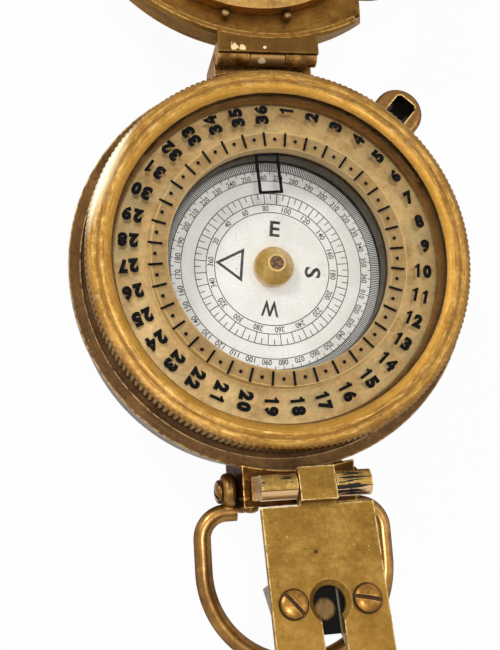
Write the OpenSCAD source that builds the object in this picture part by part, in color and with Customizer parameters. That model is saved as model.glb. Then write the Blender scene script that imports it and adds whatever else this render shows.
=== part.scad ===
// Folding prismatic compass: a round brass case with a floating card, a turning milled bezel,
// a hinged window lid, a sliding sight prism and a thumb ring. Millimetres, +Z up,
// origin at the middle of the case's underside, lid hinge towards +Y.

/* [Case] */
// Outer radius of the case wall
case_r = 30; // [29.5:0.25:32]
// How far the flange stands out past the wall
flange_out = 1; // [0.7:0.1:1.6]
// Height of the flange's top face above the base
flange_z = 15.4; // [14.4:0.2:18]
// Thickness of the flange
flange_t = 2.2; // [1.6:0.2:3]
// Width of the flange's raised rim
flange_rim_w = 1.8; // [1.2:0.1:2]
// Depth of the step inside the flange's raised rim
flange_step = 0.8; // [0.4:0.1:1.2]
// Thickness of the case floor
floor_t = 2; // [1.8:0.1:3]
// Thickness of the case wall
wall_t = 3.5; // [2.5:0.1:4.2]
// Bevel round the edge of the base
foot_bevel = 0.7; // [0.3:0.1:1.2]
// Thickness of the ledge that carries the dial ring
ledge_t = 1.4; // [1:0.1:2]
// Width of the ledge that carries the dial ring
ledge_w = 2.5; // [2:0.1:3]
// Height of the collar above the flange
collar_h = 3.2; // [2.8:0.1:4]
// Thickness of the collar that the bezel turns in
collar_t = 1.1; // [0.9:0.05:1.2]

/* [Bezel] */
// How far the tips of the milling stay inside the case wall
bezel_inset = 1.4; // [1:0.1:2]
// Width of the milled rim outside the spigot
milling_w = 1.95; // [1.7:0.05:2.2]
// Thickness of the bezel's spigot
spigot_t = 0.87; // [0.8:0.01:1]
// Width of the lip over the bezel's glass
glass_lip = 1.08; // [0.8:0.02:1.3]
// Height of the bezel ring
bezel_h = 4.2; // [3.8:0.1:5]
// Number of teeth in the milling
tooth_count = 198; // [120:1:220]
// Depth of the milling
tooth_d = 0.2; // [0.16:0.02:0.4]
// Thickness of the bezel's glass
bezel_glass_t = 1.5; // [1:0.1:1.7]
// Depth of the glass below the bezel's top face
bezel_glass_sink = 0.8; // [0.6:0.1:1.2]
// Width of the bezel's falling outer band
band_w = 1.2; // [0.9:0.1:1.7]
// Fall of the bezel's outer band
band_fall = 0.15; // [0.05:0.05:0.5]
// Width of the groove between the bezel's bands
groove_w = 0.2; // [0.15:0.05:0.4]
// Depth of the groove between the bezel's bands
groove_d = 0.06; // [0.04:0.01:0.2]
// Width of the bevel round the bezel's opening
bore_bevel_w = 1.5; // [0.5:0.05:1.6]
// Depth of the bevel round the bezel's opening
bore_bevel_d = 0.25; // [0.15:0.05:0.45]
// Width of the ring that holds the bezel's glass
glass_ring_w = 1.05; // [0.8:0.05:1.2]
// Height of the ring that holds the bezel's glass
glass_ring_h = 1.4; // [1:0.1:1.6]
// Thickness of the wire that keeps the bezel in the case
wire_d = 0.7; // [0.6:0.05:0.8]

/* [Dial] */
// Width of the shelf under the numbers
shelf_w = 5.95; // [5.5:0.05:6.2]
// Width of the raised land round the well
land_w = 2.5; // [2.2:0.05:2.8]
// Height of the shelf above the ledge
shelf_h = 3.1; // [2.6:0.1:3.4]
// Gap between the land and the turning glass
land_gap = 0.25; // [0.15:0.05:0.4]
// Depth of the dial ring's locating rim below the ledge
rim_d = 1; // [0.6:0.1:1.3]
// Thickness of the fixed inner glass
inner_glass_t = 1.2; // [0.8:0.1:1.4]
// Height of the ring under the inner glass
inner_ring_h = 2.1; // [1.6:0.1:2.3]
// Width of the inner glass's seat
inner_seat_w = 1.1; // [0.8:0.05:1.2]

/* [Card] */
// How far the floating card reaches in under the dial ring
card_over = 0.5; // [0:0.05:0.8]
// Thickness of the card
card_t = 0.4; // [0.3:0.05:0.6]
// Height of the card's face above the base
card_z = 13.6; // [13:0.1:13.7]
// Radius of the cup at the card's middle
cup_r = 3.1; // [2.8:0.1:3.6]
// Height of the cup above the card
cup_h = 3.4; // [3:0.1:3.5]
// Radius of the hole in the cup's crown
cup_eye_r = 1.1; // [0.8:0.05:1.2]
// Radius of the jewel
jewel_r = 1.3; // [1.25:0.05:1.4]
// Height of the jewel
jewel_h = 1.8; // [1.5:0.1:2]
// Outer radius of the cup's shank
shank_r = 2; // [1.8:0.1:2.2]
// Distance from the card's edge to the ends of the bar magnet
magnet_inset = 3.4; // [2:0.1:6]
// Width of the bar magnet
magnet_w = 5.4; // [5:0.1:7]
// Thickness of the bar magnet
magnet_t = 1.8; // [1.4:0.1:2]
// Radius of the pivot needle
needle_r = 0.4; // [0.3:0.05:0.5]
// Length of the needle's cone
needle_cone = 1.6; // [1.4:0.1:1.8]
// Radius of the post's foot
post_foot_r = 3.2; // [2.6:0.1:4]
// Radius of the post's stem
post_r = 1.6; // [1.3:0.1:2]
// Depth of the needle in the post
needle_bite = 3.2; // [2:0.1:4]
// Gap between the post and the magnet
post_gap = 1.3; // [0.8:0.1:2]

/* [Lid] */
// Height of the lid's edge above the flange, with the lid shut
lid_lift = 1.8; // [1.6:0.1:2.5]
// Gap between the lid's edge and the flange's outline
lid_inset = 0.1; // [0:0.05:0.2]
// Thickness of the lid's edge
lid_edge_t = 0.8; // [0.6:0.05:0.9]
// Thickness of the lid's top plate
lid_t = 0.9; // [0.8:0.05:1.2]
// Gap between the shut lid's plate and the bezel
lid_head = 1.9; // [1.8:0.1:2.4]
// Height of the straight band at the lid's edge
lid_band_h = 1.2; // [0.8:0.1:1.6]
// Rounding of the lid's shoulder, inside
lid_round = 2; // [0.8:0.1:2.1]
// Distance from the milling to the lid's window
window_inset = 7.6; // [7.4:0.1:9]
// Width of the window's seat
window_seat = 0.95; // [0.8:0.05:1.05]
// Thickness of the lid's glass
window_t = 1.1; // [0.8:0.1:1.2]
// Thickness of the window ring's wall
window_ring_t = 0.8; // [0.6:0.05:0.9]
// Height of the window ring
window_ring_h = 2.4; // [2.2:0.1:2.45]
// Radius of the studs' heads
stud_r = 0.8; // [0.6:0.05:0.9]
// Height of the studs' heads
stud_h = 1.6; // [1.2:0.1:1.65]
// Angle of each stud from the hinge line
stud_angle = 12.5; // [8:0.5:20]
// Distance from the lid's middle line to its notch
notch_x = 14; // [12:0.2:18]
// Depth of the notch from the lid's outline
notch_d = 12.2; // [6:0.1:12.4]
// Lean of the notch's side, outwards from the lid's edge
notch_lean = 26; // [0:1:28]

/* [Lid hinge] */
// Distance of the lid's hinge line outside the flange
lid_hinge_out = 1.5; // [1.4:0.05:1.8]
// Radius of the lid's knuckles
lid_knuckle_r = 1.65; // [1.5:0.05:1.7]
// Half of the lid hinge's length
lid_hinge_half = 7.8; // [6.5:0.1:9]
// Half of the middle knuckle's length
lid_mid_half = 2.7; // [2:0.1:3.5]
// Thickness of the lid's hinge leaf
leaf_t = 0.6; // [0.5:0.05:0.8]
// How far the leaf reaches past the hinge line
leaf_reach = 0.7; // [0.5:0.05:0.8]
// Height of the hinge bracket's lower edge above the base
lid_bracket_z = 8.5; // [6:0.5:11]
// Bevel along the hinge bracket's lower edge
lid_bracket_bevel = 1.2; // [0.5:0.1:1.5]

/* [Lanyard lug] */
// Direction of the lug, clockwise from the lid hinge
lug_turn = 41.5; // [35:0.5:60]
// Half of the lug's width
lug_half = 4; // [3.2:0.1:4.2]
// Distance of the lug's round end's centre outside the flange
lug_out = 2; // [1.1:0.1:2.2]
// Height of the lug's lower end above the base
lug_z = 8.6; // [6:0.2:11]
// Height of the lug
lug_h = 8.8; // [6:0.2:8.8]
// Rounding of the lug's edges
lug_round = 0.9; // [0.5:0.1:1.2]
// Half of the lug's eye's width
eye_half = 1.8; // [1.3:0.05:2]
// Thickness of the lug's outer wall
eye_wall = 1.5; // [1.2:0.05:1.7]
// Bevel in the corners of the lug's eye
eye_bevel = 0.5; // [0.2:0.1:0.8]

/* [Prism bracket] */
// Distance of the prism's hinge line outside the flange
prism_out = 2.5; // [2.4:0.05:3]
// Half of the bracket's width
bracket_half = 8.1; // [7.5:0.1:9]
// Height of the bracket's lower end above the base
bracket_z = 7; // [5:0.5:8]
// Height of the bracket
bracket_h = 14; // [12:0.25:14.25]
// Thickness of the bracket's cover
cover_t = 1.3; // [0.7:0.05:1.4]
// Half of the slide's width
slide_half = 5; // [4:0.1:5.2]
// Thickness of the slide's tongue
slide_t = 2.2; // [1.8:0.05:2.3]
// How far the slide travels down
slide_travel = 2.5; // [1.5:0.1:2.6]
// Distance of the cover screws from the bracket's ends
cover_screw_z = 3.4; // [2:0.1:4]
// Radius of the cover screws' heads
cover_head_r = 1.1; // [0.9:0.05:1.3]
// Height of the cover screws' heads
cover_head_h = 0.8; // [0.5:0.05:0.9]
// Depth of the cover screws in the bracket
cover_bite = 1.1; // [0.8:0.1:1.2]

/* [Prism hinge] */
// Height of the prism's hinge line above the base, with the slide raised
prism_z = 29.3; // [29.2:0.1:30.5]
// Radius of the prism's knuckles
prism_knuckle_r = 1.7; // [1.5:0.05:1.75]
// Half of the prism hinge's length
prism_hinge_half = 7.4; // [6.5:0.1:8]
// Half of the middle knuckle's length
prism_mid_half = 2.45; // [2:0.05:3.2]
// Radius of both hinge pins
pin_r = 0.8; // [0.6:0.05:0.9]
// Distance from the prism's hinge line to the top of its strap
strap_h = 1.75; // [1.75:0.05:1.9]
// How far the strap reaches behind the hinge line
strap_back = 2.1; // [1.8:0.05:2.2]

/* [Prism] */
// Tilt of the folded-out prism above the level
prism_tilt = 12.3; // [8:0.1:15]
// Width of the prism's plate
plate_w = 15; // [14.2:0.1:16]
// Length of the prism's plate
plate_l = 19.5; // [19:0.25:21]
// Thickness of the prism's plate
plate_t = 1.2; // [1:0.05:1.4]
// Distance from the hinge line to the plate's inner edge
plate_start = 2.6; // [2.5:0.05:3]
// Height of the plate's face above the hinge line
plate_rise = 0.25; // [0:0.05:0.4]
// Distance from the plate's inner edge to the keyhole
keyhole_s = 12.2; // [11.9:0.1:12.8]
// Radius of the keyhole
keyhole_r = 2.1; // [1.8:0.05:2.3]
// Width of the keyhole's bevel
keyhole_bevel = 0.65; // [0.3:0.05:0.7]
// Half of the sight slot's width
slot_half = 1.42; // [1:0.02:1.6]
// Distance of the prism screws from the middle line
prism_screw_x = 4.75; // [4.6:0.05:4.9]
// Radius of the prism screws' heads
prism_head_r = 1.9; // [1.5:0.05:1.9]
// Height of the prism screws' heads
prism_head_h = 0.85; // [0.5:0.05:1]
// Turn of the prism screws' slots, right and left
prism_slot_turn = [-13, 51]; // [-90:1:90]
// Depth of the prism screws in the housing
prism_bite = 2.8; // [2:0.1:3]
// Width of the screwdriver slots
driver_slot = 0.5; // [0.3:0.05:0.6]
// Depth of the prism housing below the plate's face
housing_d = 9.5; // [9:0.1:10]
// Half of the housing's width
housing_half = 6.6; // [6.4:0.05:6.8]
// Distance from the plate's inner edge to the housing's end wall
housing_s = 8.9; // [8.4:0.1:9]
// Thickness of the housing's end wall
end_wall_t = 1.2; // [0.9:0.05:1.3]
// Thickness of the housing's sloping cover
slope_t = 0.8; // [0.6:0.05:1]
// Half of the glass prism's width
glass_half = 3.5; // [3:0.05:3.6]
// Radius of the eye lens
lens_r = 2.1; // [1.8:0.05:2.3]
// Thickness of the eye lens's ring
lens_ring_t = 0.7; // [0.5:0.05:0.8]
// How far the eye lens's ring stands out
lens_ring_out = 0.6; // [0.4:0.05:0.8]

/* [Thumb ring] */
// Height of the ring's pivots above the base
ring_z = 15; // [13:0.25:16]
// Diameter of the ring's wire
ring_wire_d = 2.5; // [2.2:0.1:2.8]
// Distance from the ears' inner faces to the wire's centre
ring_spread = 5.15; // [4.8:0.05:6]
// Distance from the pivots to the ring's round end's centre
ring_reach = 11; // [9.5:0.25:11.5]
// Radius of the ring's shoulders
ring_shoulder = 3.6; // [3.2:0.1:4]
// Radius of the ring's ears
ear_r = 2.6; // [2.3:0.05:2.7]
// Thickness of the ring's ears
ear_t = 2; // [1.6:0.1:2.2]
// Rounding of the ears' edges
ear_round = 0.7; // [0.3:0.1:0.8]
// How much lower than the wire's top the ears' necks lie
neck_drop = 0.1; // [0.05:0.05:0.3]
// Radius of the pivot screws' shanks
ring_pin_r = 1; // [0.8:0.05:1.1]
// Radius of the pivot screws' heads
ring_head_r = 1.7; // [1.5:0.05:1.7]
// Height of the pivot screws' heads
ring_head_h = 0.9; // [0.6:0.05:1.1]
// Depth of the pivot screws in the bracket
ring_bite = 2.2; // [1.6:0.1:2.2]

/* [Clearances] */
// Radial running clearance of turning and sliding pieces
run_gap = 0.05; // [0.03:0.01:0.08]
// Clearance of pieces that are fixed together
seat_gap = 0.03; // [0.01:0.01:0.05]
// Side clearance between knuckles, and at the ring's ears
side_gap = 0.15; // [0.1:0.01:0.25]
// Clearance between shapes that pass each other
pass_gap = 0.3; // [0.2:0.02:0.34]
// Clearance between the dial ring and the turning spigot
dial_gap = 0.43; // [0.3:0.01:0.6]

/* [Hidden] */
$fn = 96;

// How far cutters reach past the faces that they cut
past = 1;
// How far roots run inside the outline of the case or lid that they join
tuck = 3;

// Bezel's radii, from the milling inwards
bezel_r = case_r - bezel_inset;
root_r = bezel_r - tooth_d;
spigot_r = bezel_r - milling_w;
glass_seat_r = spigot_r - spigot_t;
bezel_glass_r = glass_seat_r - seat_gap;
bezel_bore_r = glass_seat_r - glass_lip;

// Case and collar
flange_r = case_r + flange_out;
lip_r = flange_r - flange_rim_w;
step_z = flange_z - flange_step;
collar_z = flange_z + collar_h;
collar_r = spigot_r + run_gap;
collar_out_r = collar_r + collar_t;
ledge_z = flange_z - flange_step / 2;
ledge_r = collar_r - ledge_w;
cavity_r = case_r - wall_t;
cavity_top = ledge_z - ledge_t - (cavity_r - ledge_r);

// Bezel, from its underside up
bezel_z = collar_z + pass_gap;
bezel_top = bezel_z + bezel_h;
glass_top = bezel_top - bezel_glass_sink;
print_z = glass_top - bezel_glass_t;
spigot_z = ledge_z + pass_gap;
mill_bevel = tooth_d;
mill_z = bezel_z + mill_bevel;
mill_top = bezel_top - band_fall - mill_bevel / 2;
band_r = root_r - mill_bevel / 2 - band_w;
wire_r = wire_d / 2;
wire_z = (spigot_z + collar_z) / 2;
wire_ring_r = collar_r + seat_gap;
wire_open = 14;

// Dial ring and inner glass
shelf_r = glass_seat_r - dial_gap;
land_r = shelf_r - shelf_w;
well_r = land_r - land_w;
shelf_z = ledge_z + shelf_h;
land_z = print_z - land_gap;
seat_r = well_r + inner_seat_w;
inner_glass_top = shelf_z + inner_glass_t / 2;
inner_glass_z = inner_glass_top - inner_glass_t;
rim_r = ledge_r - seat_gap;
rim_t = 1.6;

// Card, cup and pivot
card_r = well_r + card_over;
magnet_l = 2 * (card_r - magnet_inset);
card_under = card_z - card_t;
cup_top = card_z + cup_h;
crown_t = 0.3;
jewel_top = cup_top - crown_t;
jewel_z = jewel_top - jewel_h;
jewel_cone = jewel_h * 0.6;
needle_tip = jewel_z + jewel_cone - run_gap;
magnet_z = card_under - magnet_t;
shank_z = magnet_z;
post_top = magnet_z - post_gap;
post_foot_t = 1;
stem_top_r = post_r * 0.65;
stud_hole_r = 1.2;
floor_bite = floor_t * 0.6;
needle_z = post_top - needle_bite;

// Lid, in its shut place
rim_z = flange_z + lid_lift;
lid_r = flange_r - lid_inset;
lid_in_r = lid_r - lid_edge_t;
ceiling_z = bezel_top + lid_head;
lid_top = ceiling_z + lid_t;
shoulder_in = bezel_r + pass_gap;
window_r = bezel_r - window_inset;
notch_y = lid_r - notch_d;
window_glass_r = window_r + window_seat;
window_ring_r = window_glass_r + seat_gap + window_ring_t;
stud_place = window_ring_r + stud_r + seat_gap;
lid_axis_y = flange_r + lid_hinge_out;
leaf_z = rim_z + lid_inset;
hinge_z = leaf_z + leaf_t + side_gap + lid_knuckle_r;
bore_r = pin_r + run_gap;

// Prism bracket and slide
prism_axis_y = -(flange_r + prism_out);
slide_back = prism_axis_y + slide_t / 2;
slide_front = prism_axis_y - slide_t / 2;
slot_back = slide_back + run_gap;
slot_front = slide_front - 2 * run_gap;
bracket_top = bracket_z + bracket_h;
head_z = bracket_top + slide_travel + side_gap;
head_half_y = prism_knuckle_r - 2 * run_gap;
tongue_z = bracket_z + slide_travel;
strap_sweep = norm([strap_h, max(strap_back, plate_start - pass_gap)]) + side_gap;
cover_screw_x = (slide_half + bracket_half) / 2;
cover_front = slot_front - cover_t;

// Prism assembly, measured from its hinge line
plate_end = plate_start + plate_l;
keyhole_y = plate_start + keyhole_s;
housing_y = plate_start + housing_s;
plate_under = plate_rise - plate_t;
housing_low = plate_rise - housing_d;
lens_z = housing_low + (keyhole_s - housing_s);
glass_y = housing_y + end_wall_t + seat_gap;

// Thumb ring
ring_wire_r = ring_wire_d / 2;
ear_in = bracket_half + side_gap;
ear_out = ear_in + ear_t;
ring_half = ear_in + ring_spread;
ring_neck = ring_head_r + run_gap + ring_wire_r;

module turned(points) rotate_extrude() polygon(points);

// Extrudes an outline of [y, z] points along X, between two x values
module along_x(x0, x1) translate([x0, 0, 0]) rotate([90, 0, 90]) linear_extrude(x1 - x0) children();

// A round bar along X, between two x values, at y and z
module bar_x(r, x0, x1, y, z) translate([x0, y, z]) rotate([0, 90, 0]) cylinder(r = r, h = x1 - x0);

module both_sides() for (side = [0, 1]) mirror([side, 0, 0]) children();

// Turns the lid from its shut place to its open one
module lid_open() translate([0, lid_axis_y, hinge_z]) rotate([180, 0, 0])
    translate([0, -lid_axis_y, -hinge_z]) children();

// Places the prism's pieces, whose outlines are drawn level from the hinge line
module prism_place() translate([0, prism_axis_y, prism_z]) rotate([-prism_tilt, 0, 0]) children();

module ring_place() translate([0, prism_axis_y, ring_z]) children();

// The case's outside, which the brackets and the lug sit against
module case_outside(gap) turned([
    [0, -past], [case_r + gap, -past], [case_r + gap, flange_z - flange_t - flange_out],
    [flange_r + gap, flange_z - flange_t], [flange_r + gap, flange_z + gap],
    [lid_r + pass_gap, flange_z + gap], [lid_r + pass_gap, lid_top], [0, lid_top]
]);

module case_body() color("#8a6a3c") difference() {
    turned([
        [0, 0], [case_r - foot_bevel, 0], [case_r, foot_bevel],
        [case_r, flange_z - flange_t - flange_out], [flange_r, flange_z - flange_t],
        [flange_r, flange_z], [lip_r, flange_z], [lip_r, step_z],
        [collar_out_r, step_z], [collar_out_r, collar_z], [collar_r, collar_z],
        [collar_r, wire_z + wire_r + run_gap], [wire_ring_r + wire_r, wire_z + wire_r + run_gap],
        [wire_ring_r + wire_r, wire_z - wire_r - run_gap], [collar_r, wire_z - wire_r - run_gap],
        [collar_r, ledge_z], [ledge_r, ledge_z], [ledge_r, ledge_z - ledge_t],
        [cavity_r, cavity_top], [cavity_r, floor_t], [0, floor_t]
    ]);
    translate([0, 0, floor_t - floor_bite]) cylinder(r = stud_hole_r + seat_gap, h = floor_t);
}

module dial_ring() color("#b79a63") turned([
    [well_r, inner_glass_top + seat_gap], [well_r, land_z], [land_r, land_z], [land_r, shelf_z],
    [shelf_r, shelf_z], [shelf_r, ledge_z], [rim_r, ledge_z], [rim_r, ledge_z - rim_d],
    [rim_r - rim_t, ledge_z - rim_d], [rim_r - rim_t, ledge_z], [seat_r, ledge_z],
    [seat_r, inner_glass_top + seat_gap]
]);

module inner_glass() color("#dfe8e6", 0.4) translate([0, 0, inner_glass_z])
    cylinder(r = seat_r - seat_gap, h = inner_glass_t);

module inner_glass_ring() color("#3a2c1c") turned([
    [well_r, inner_glass_z], [seat_r - seat_gap, inner_glass_z],
    [seat_r - seat_gap, inner_glass_z - inner_ring_h], [well_r, inner_glass_z - inner_ring_h]
]);

module pivot_post() color("#a8873f") difference() {
    turned([
        [0, floor_t - floor_bite], [stud_hole_r, floor_t - floor_bite], [stud_hole_r, floor_t],
        [post_foot_r, floor_t], [post_foot_r, floor_t + post_foot_t],
        [post_r, floor_t + post_foot_t], [stem_top_r, post_top], [0, post_top]
    ]);
    translate([0, 0, needle_z]) cylinder(r = needle_r + seat_gap, h = post_top);
}

module pivot_needle() color("#c8ccd0") turned([
    [0, needle_z], [needle_r, needle_z], [needle_r, needle_tip - needle_cone], [0, needle_tip]
]);

// A split wire ring that lies in the case's groove and reaches into the spigot's groove
module bezel_wire() color("#b8bcc0") translate([0, 0, wire_z]) rotate([0, 0, wire_open / 2])
    rotate_extrude(angle = 360 - wire_open) translate([wire_ring_r, 0]) circle(r = wire_r - seat_gap);

function tooth_tip(i) = let (a = i * 360 / tooth_count) bezel_r * [cos(a), sin(a)];
function tooth_root(i) = let (a = (i + 0.5) * 360 / tooth_count) root_r * [cos(a), sin(a)];

module bezel_ring() color("#b3862f") difference() {
    union() {
        translate([0, 0, mill_z]) linear_extrude(mill_top - mill_z)
            polygon([for (i = [0 : tooth_count - 1]) each [tooth_tip(i), tooth_root(i)]]);
        turned([
            [0, spigot_z], [spigot_r, spigot_z],
            [spigot_r, wire_z - wire_d], [wire_ring_r - wire_d, wire_z - wire_d],
            [wire_ring_r - wire_d, wire_z + wire_d], [spigot_r, wire_z + wire_d],
            [spigot_r, bezel_z], [root_r - 2 * mill_bevel, bezel_z],
            [root_r - mill_bevel / 4, mill_z], [root_r - mill_bevel / 4, mill_top],
            [root_r - mill_bevel / 2, bezel_top - band_fall], [band_r, bezel_top],
            [band_r - groove_w / 2, bezel_top - groove_d], [band_r - groove_w, bezel_top],
            [0, bezel_top]
        ]);
    }
    turned([
        [0, 0], [glass_seat_r, 0], [glass_seat_r, glass_top + seat_gap],
        [bezel_bore_r, glass_top + seat_gap], [bezel_bore_r, bezel_top - bore_bevel_d],
        [bezel_bore_r + bore_bevel_w, bezel_top], [bezel_bore_r + bore_bevel_w, bezel_top + past],
        [0, bezel_top + past]
    ]);
}

module bezel_glass() color("#dfe8e6", 0.35) translate([0, 0, print_z])
    cylinder(r = bezel_glass_r, h = bezel_glass_t);

module bezel_glass_ring() color("#6d5228") turned([
    [bezel_glass_r, print_z], [bezel_glass_r - glass_ring_w, print_z],
    [bezel_glass_r - glass_ring_w, print_z - glass_ring_h], [bezel_glass_r, print_z - glass_ring_h]
]);

module compass_card() color("#ece9e2") turned([
    [shank_r + seat_gap, card_z], [card_r, card_z], [card_r, card_under],
    [shank_r + seat_gap, card_under]
]);

module card_cup() {
    cone_h = cup_h * 0.62;
    crown_r = cup_r * 0.45;
    round_r = cup_r * 0.2;
    color("#c8a24a") turned([
        [jewel_r + seat_gap, shank_z], [shank_r, shank_z], [shank_r, card_z], [cup_r, card_z],
        for (a = [0 : 10 : 50]) [cup_r - round_r + round_r * cos(a), cup_top - cone_h + round_r * sin(a)],
        [crown_r, cup_top], [cup_eye_r, cup_top], [cup_eye_r, jewel_top + seat_gap],
        [jewel_r + seat_gap, jewel_top + seat_gap]
    ]);
}

module cup_jewel() color("#9a2f4a") turned([
    [0, jewel_top], [jewel_r, jewel_top], [jewel_r, jewel_z], [jewel_r * 0.8, jewel_z],
    [0, jewel_z + jewel_cone]
]);

module bar_magnet() color("#6f7478") difference() {
    intersection() {
        translate([-magnet_l / 2, -magnet_w / 2, magnet_z]) cube([magnet_l, magnet_w, magnet_t]);
        translate([0, 0, magnet_z]) cylinder(r = magnet_l / 2, h = magnet_t);
    }
    translate([0, 0, magnet_z - past]) cylinder(r = shank_r + seat_gap, h = magnet_t + 2 * past);
}

// Half of the lug's section, with round outer edges
module lug_section() union() {
    square([lug_half - lug_round, lug_h]);
    translate([0, lug_round]) square([lug_half, lug_h - 2 * lug_round]);
    for (z = [lug_round, lug_h - lug_round]) translate([lug_half - lug_round, z])
        circle(r = lug_round);
}

module lanyard_lug() color("#a3793f") difference() {
    leg = lug_out + tuck;
    eye_end = lug_half - eye_wall;
    rotate([0, 0, 90 - lug_turn]) translate([flange_r + lug_out, 0, lug_z]) difference() {
        union() {
            rotate([0, 0, -90]) rotate_extrude(angle = 180) lug_section();
            for (side = [0, 1]) mirror([0, side, 0]) rotate([90, 0, -90])
                linear_extrude(leg) mirror([1, 0]) lug_section();
        }
        translate([0, 0, -past]) linear_extrude(lug_h + 2 * past) polygon([
            [-leg, -eye_half], [eye_end - eye_bevel, -eye_half], [eye_end, -eye_half + eye_bevel],
            [eye_end, eye_half - eye_bevel], [eye_end - eye_bevel, eye_half], [-leg, eye_half]
        ]);
    }
    case_outside(seat_gap);
}

module lid_hinge_bracket() {
    block_top = rim_z - side_gap;
    outer_y = lid_axis_y + lid_knuckle_r;
    upstand_y = lid_axis_y + leaf_reach + side_gap;
    mid_end = lid_mid_half + side_gap;
    color("#6f512b") difference() {
        union() {
            along_x(-lid_hinge_half, lid_hinge_half) polygon([
                [case_r - tuck, lid_bracket_z], [outer_y - lid_bracket_bevel, lid_bracket_z],
                [outer_y, lid_bracket_z + lid_bracket_bevel], [outer_y, block_top],
                [case_r - tuck, block_top]
            ]);
            both_sides() {
                along_x(mid_end, lid_hinge_half) polygon([
                    [upstand_y, block_top - past], [outer_y, block_top - past],
                    [outer_y, hinge_z], [upstand_y, hinge_z]
                ]);
                bar_x(lid_knuckle_r, mid_end, lid_hinge_half, lid_axis_y, hinge_z);
            }
        }
        case_outside(seat_gap);
        bar_x(bore_r, -lid_hinge_half - past, lid_hinge_half + past, lid_axis_y, hinge_z);
    }
}

module lid_hinge_pin() color("#b08d45")
    bar_x(pin_r, -lid_hinge_half, lid_hinge_half, lid_axis_y, hinge_z);

// A quarter round of the lid's shoulder, as points from the wall to the plate
function shoulder(r) = [for (a = [0 : 15 : 90])
    [shoulder_in - lid_round + r * cos(a), ceiling_z - lid_round + r * sin(a)]];
function reversed(points) = [for (i = [len(points) - 1 : -1 : 0]) points[i]];

module lid_shell() color("#8c6a36") lid_open() difference() {
    union() {
        difference() {
            turned(concat(
                [[lid_r, rim_z], [lid_r, rim_z + lid_band_h]], shoulder(lid_round + lid_t),
                [[window_r, lid_top], [window_r, ceiling_z]], reversed(shoulder(lid_round)),
                [[lid_in_r, rim_z + lid_band_h], [lid_in_r, rim_z]]
            ));
            translate([0, notch_y, 0]) rotate([-90, 0, 0]) linear_extrude(lid_r) polygon([
                [notch_x - past * tan(notch_lean), past - rim_z],
                [notch_x + (lid_top + past - rim_z) * tan(notch_lean), -lid_top - past],
                [2 * lid_r, -lid_top - past], [2 * lid_r, past - rim_z]
            ]);
        }
        // The hinge leaf reaches from the lid's edge past the hinge line
        difference() {
            along_x(-lid_hinge_half, lid_hinge_half) polygon([
                [lid_in_r - tuck, leaf_z], [lid_axis_y + leaf_reach, leaf_z],
                [lid_axis_y + leaf_reach, leaf_z + leaf_t], [lid_in_r - tuck, leaf_z + leaf_t]
            ]);
            cylinder(r = (lid_in_r + lid_r) / 2, h = lid_top);
        }
        bar_x(lid_knuckle_r, -lid_mid_half, lid_mid_half, lid_axis_y, hinge_z);
        along_x(-lid_mid_half, lid_mid_half) polygon([
            [lid_axis_y - leaf_reach, leaf_z + leaf_t / 2],
            [lid_axis_y + leaf_reach, leaf_z + leaf_t / 2],
            [lid_axis_y + leaf_reach, hinge_z], [lid_axis_y - leaf_reach, hinge_z]
        ]);
    }
    bar_x(bore_r, -lid_mid_half - past, lid_mid_half + past, lid_axis_y, hinge_z);
    // Holes for the studs
    stud_places() translate([0, 0, ceiling_z - past]) cylinder(r = stud_r / 2, h = past + lid_t / 2);
}

module stud_places() for (a = [stud_angle, -stud_angle, 180 - stud_angle, 180 + stud_angle])
    rotate([0, 0, a]) translate([0, stud_place, 0]) children();

module lid_glass() color("#dfe8e6", 0.35) lid_open() translate([0, 0, ceiling_z - window_t])
    cylinder(r = window_glass_r, h = window_t);

module lid_glass_ring() {
    ring_z0 = ceiling_z - window_ring_h;
    glass_z = ceiling_z - window_t - seat_gap;
    color("#b98f3e") lid_open() turned([
        [window_r, glass_z], [window_glass_r + seat_gap, glass_z],
        [window_glass_r + seat_gap, ceiling_z], [window_ring_r, ceiling_z],
        [window_ring_r, ring_z0], [window_r, ring_z0]
    ]);
}

module lid_studs() color("#a98a55") lid_open() stud_places() turned([
    [0, ceiling_z + lid_t / 2], [stud_r / 2 - seat_gap, ceiling_z + lid_t / 2],
    [stud_r / 2 - seat_gap, ceiling_z], [stud_r, ceiling_z], [stud_r, ceiling_z - stud_h * 0.6],
    for (a = [20 : 20 : 80]) [stud_r * cos(a), ceiling_z - stud_h * (0.6 + 0.4 * sin(a))],
    [0, ceiling_z - stud_h]
]);

// The middle knuckle's strap sweeps this space
module strap_space() bar_x(strap_sweep, -prism_mid_half - side_gap, prism_mid_half + side_gap,
    prism_axis_y, prism_z);

module cover_screw_places() both_sides()
    for (z = [bracket_z + cover_screw_z, bracket_top - cover_screw_z])
        translate([cover_screw_x, cover_front, z]) rotate([90, 0, 0]) children();

module prism_bracket() color("#86632f") difference() {
    along_x(-bracket_half, bracket_half) polygon([
        [tuck - case_r, bracket_z], [slot_front, bracket_z], [slot_front, bracket_top],
        [tuck - case_r, bracket_top]
    ]);
    case_outside(seat_gap);
    translate([-slide_half - run_gap, slot_front - past, bracket_z - past])
        cube([2 * (slide_half + run_gap), slot_back - slot_front + past, bracket_h + 2 * past]);
    both_sides() bar_x(ring_pin_r + seat_gap, bracket_half - ring_bite - seat_gap,
        bracket_half + past, prism_axis_y, ring_z);
    cover_screw_places() translate([0, 0, -cover_t - cover_bite - seat_gap])
        cylinder(r = cover_head_r / 2, h = cover_bite + cover_t + seat_gap);
}

module bracket_cover() color("#7a5a2c") difference() {
    translate([-bracket_half, cover_front, bracket_z])
        cube([2 * bracket_half, cover_t, bracket_h]);
    cover_screw_places() translate([0, 0, -cover_t - past])
        cylinder(r = cover_head_r / 2, h = cover_t + 2 * past);
}

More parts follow.
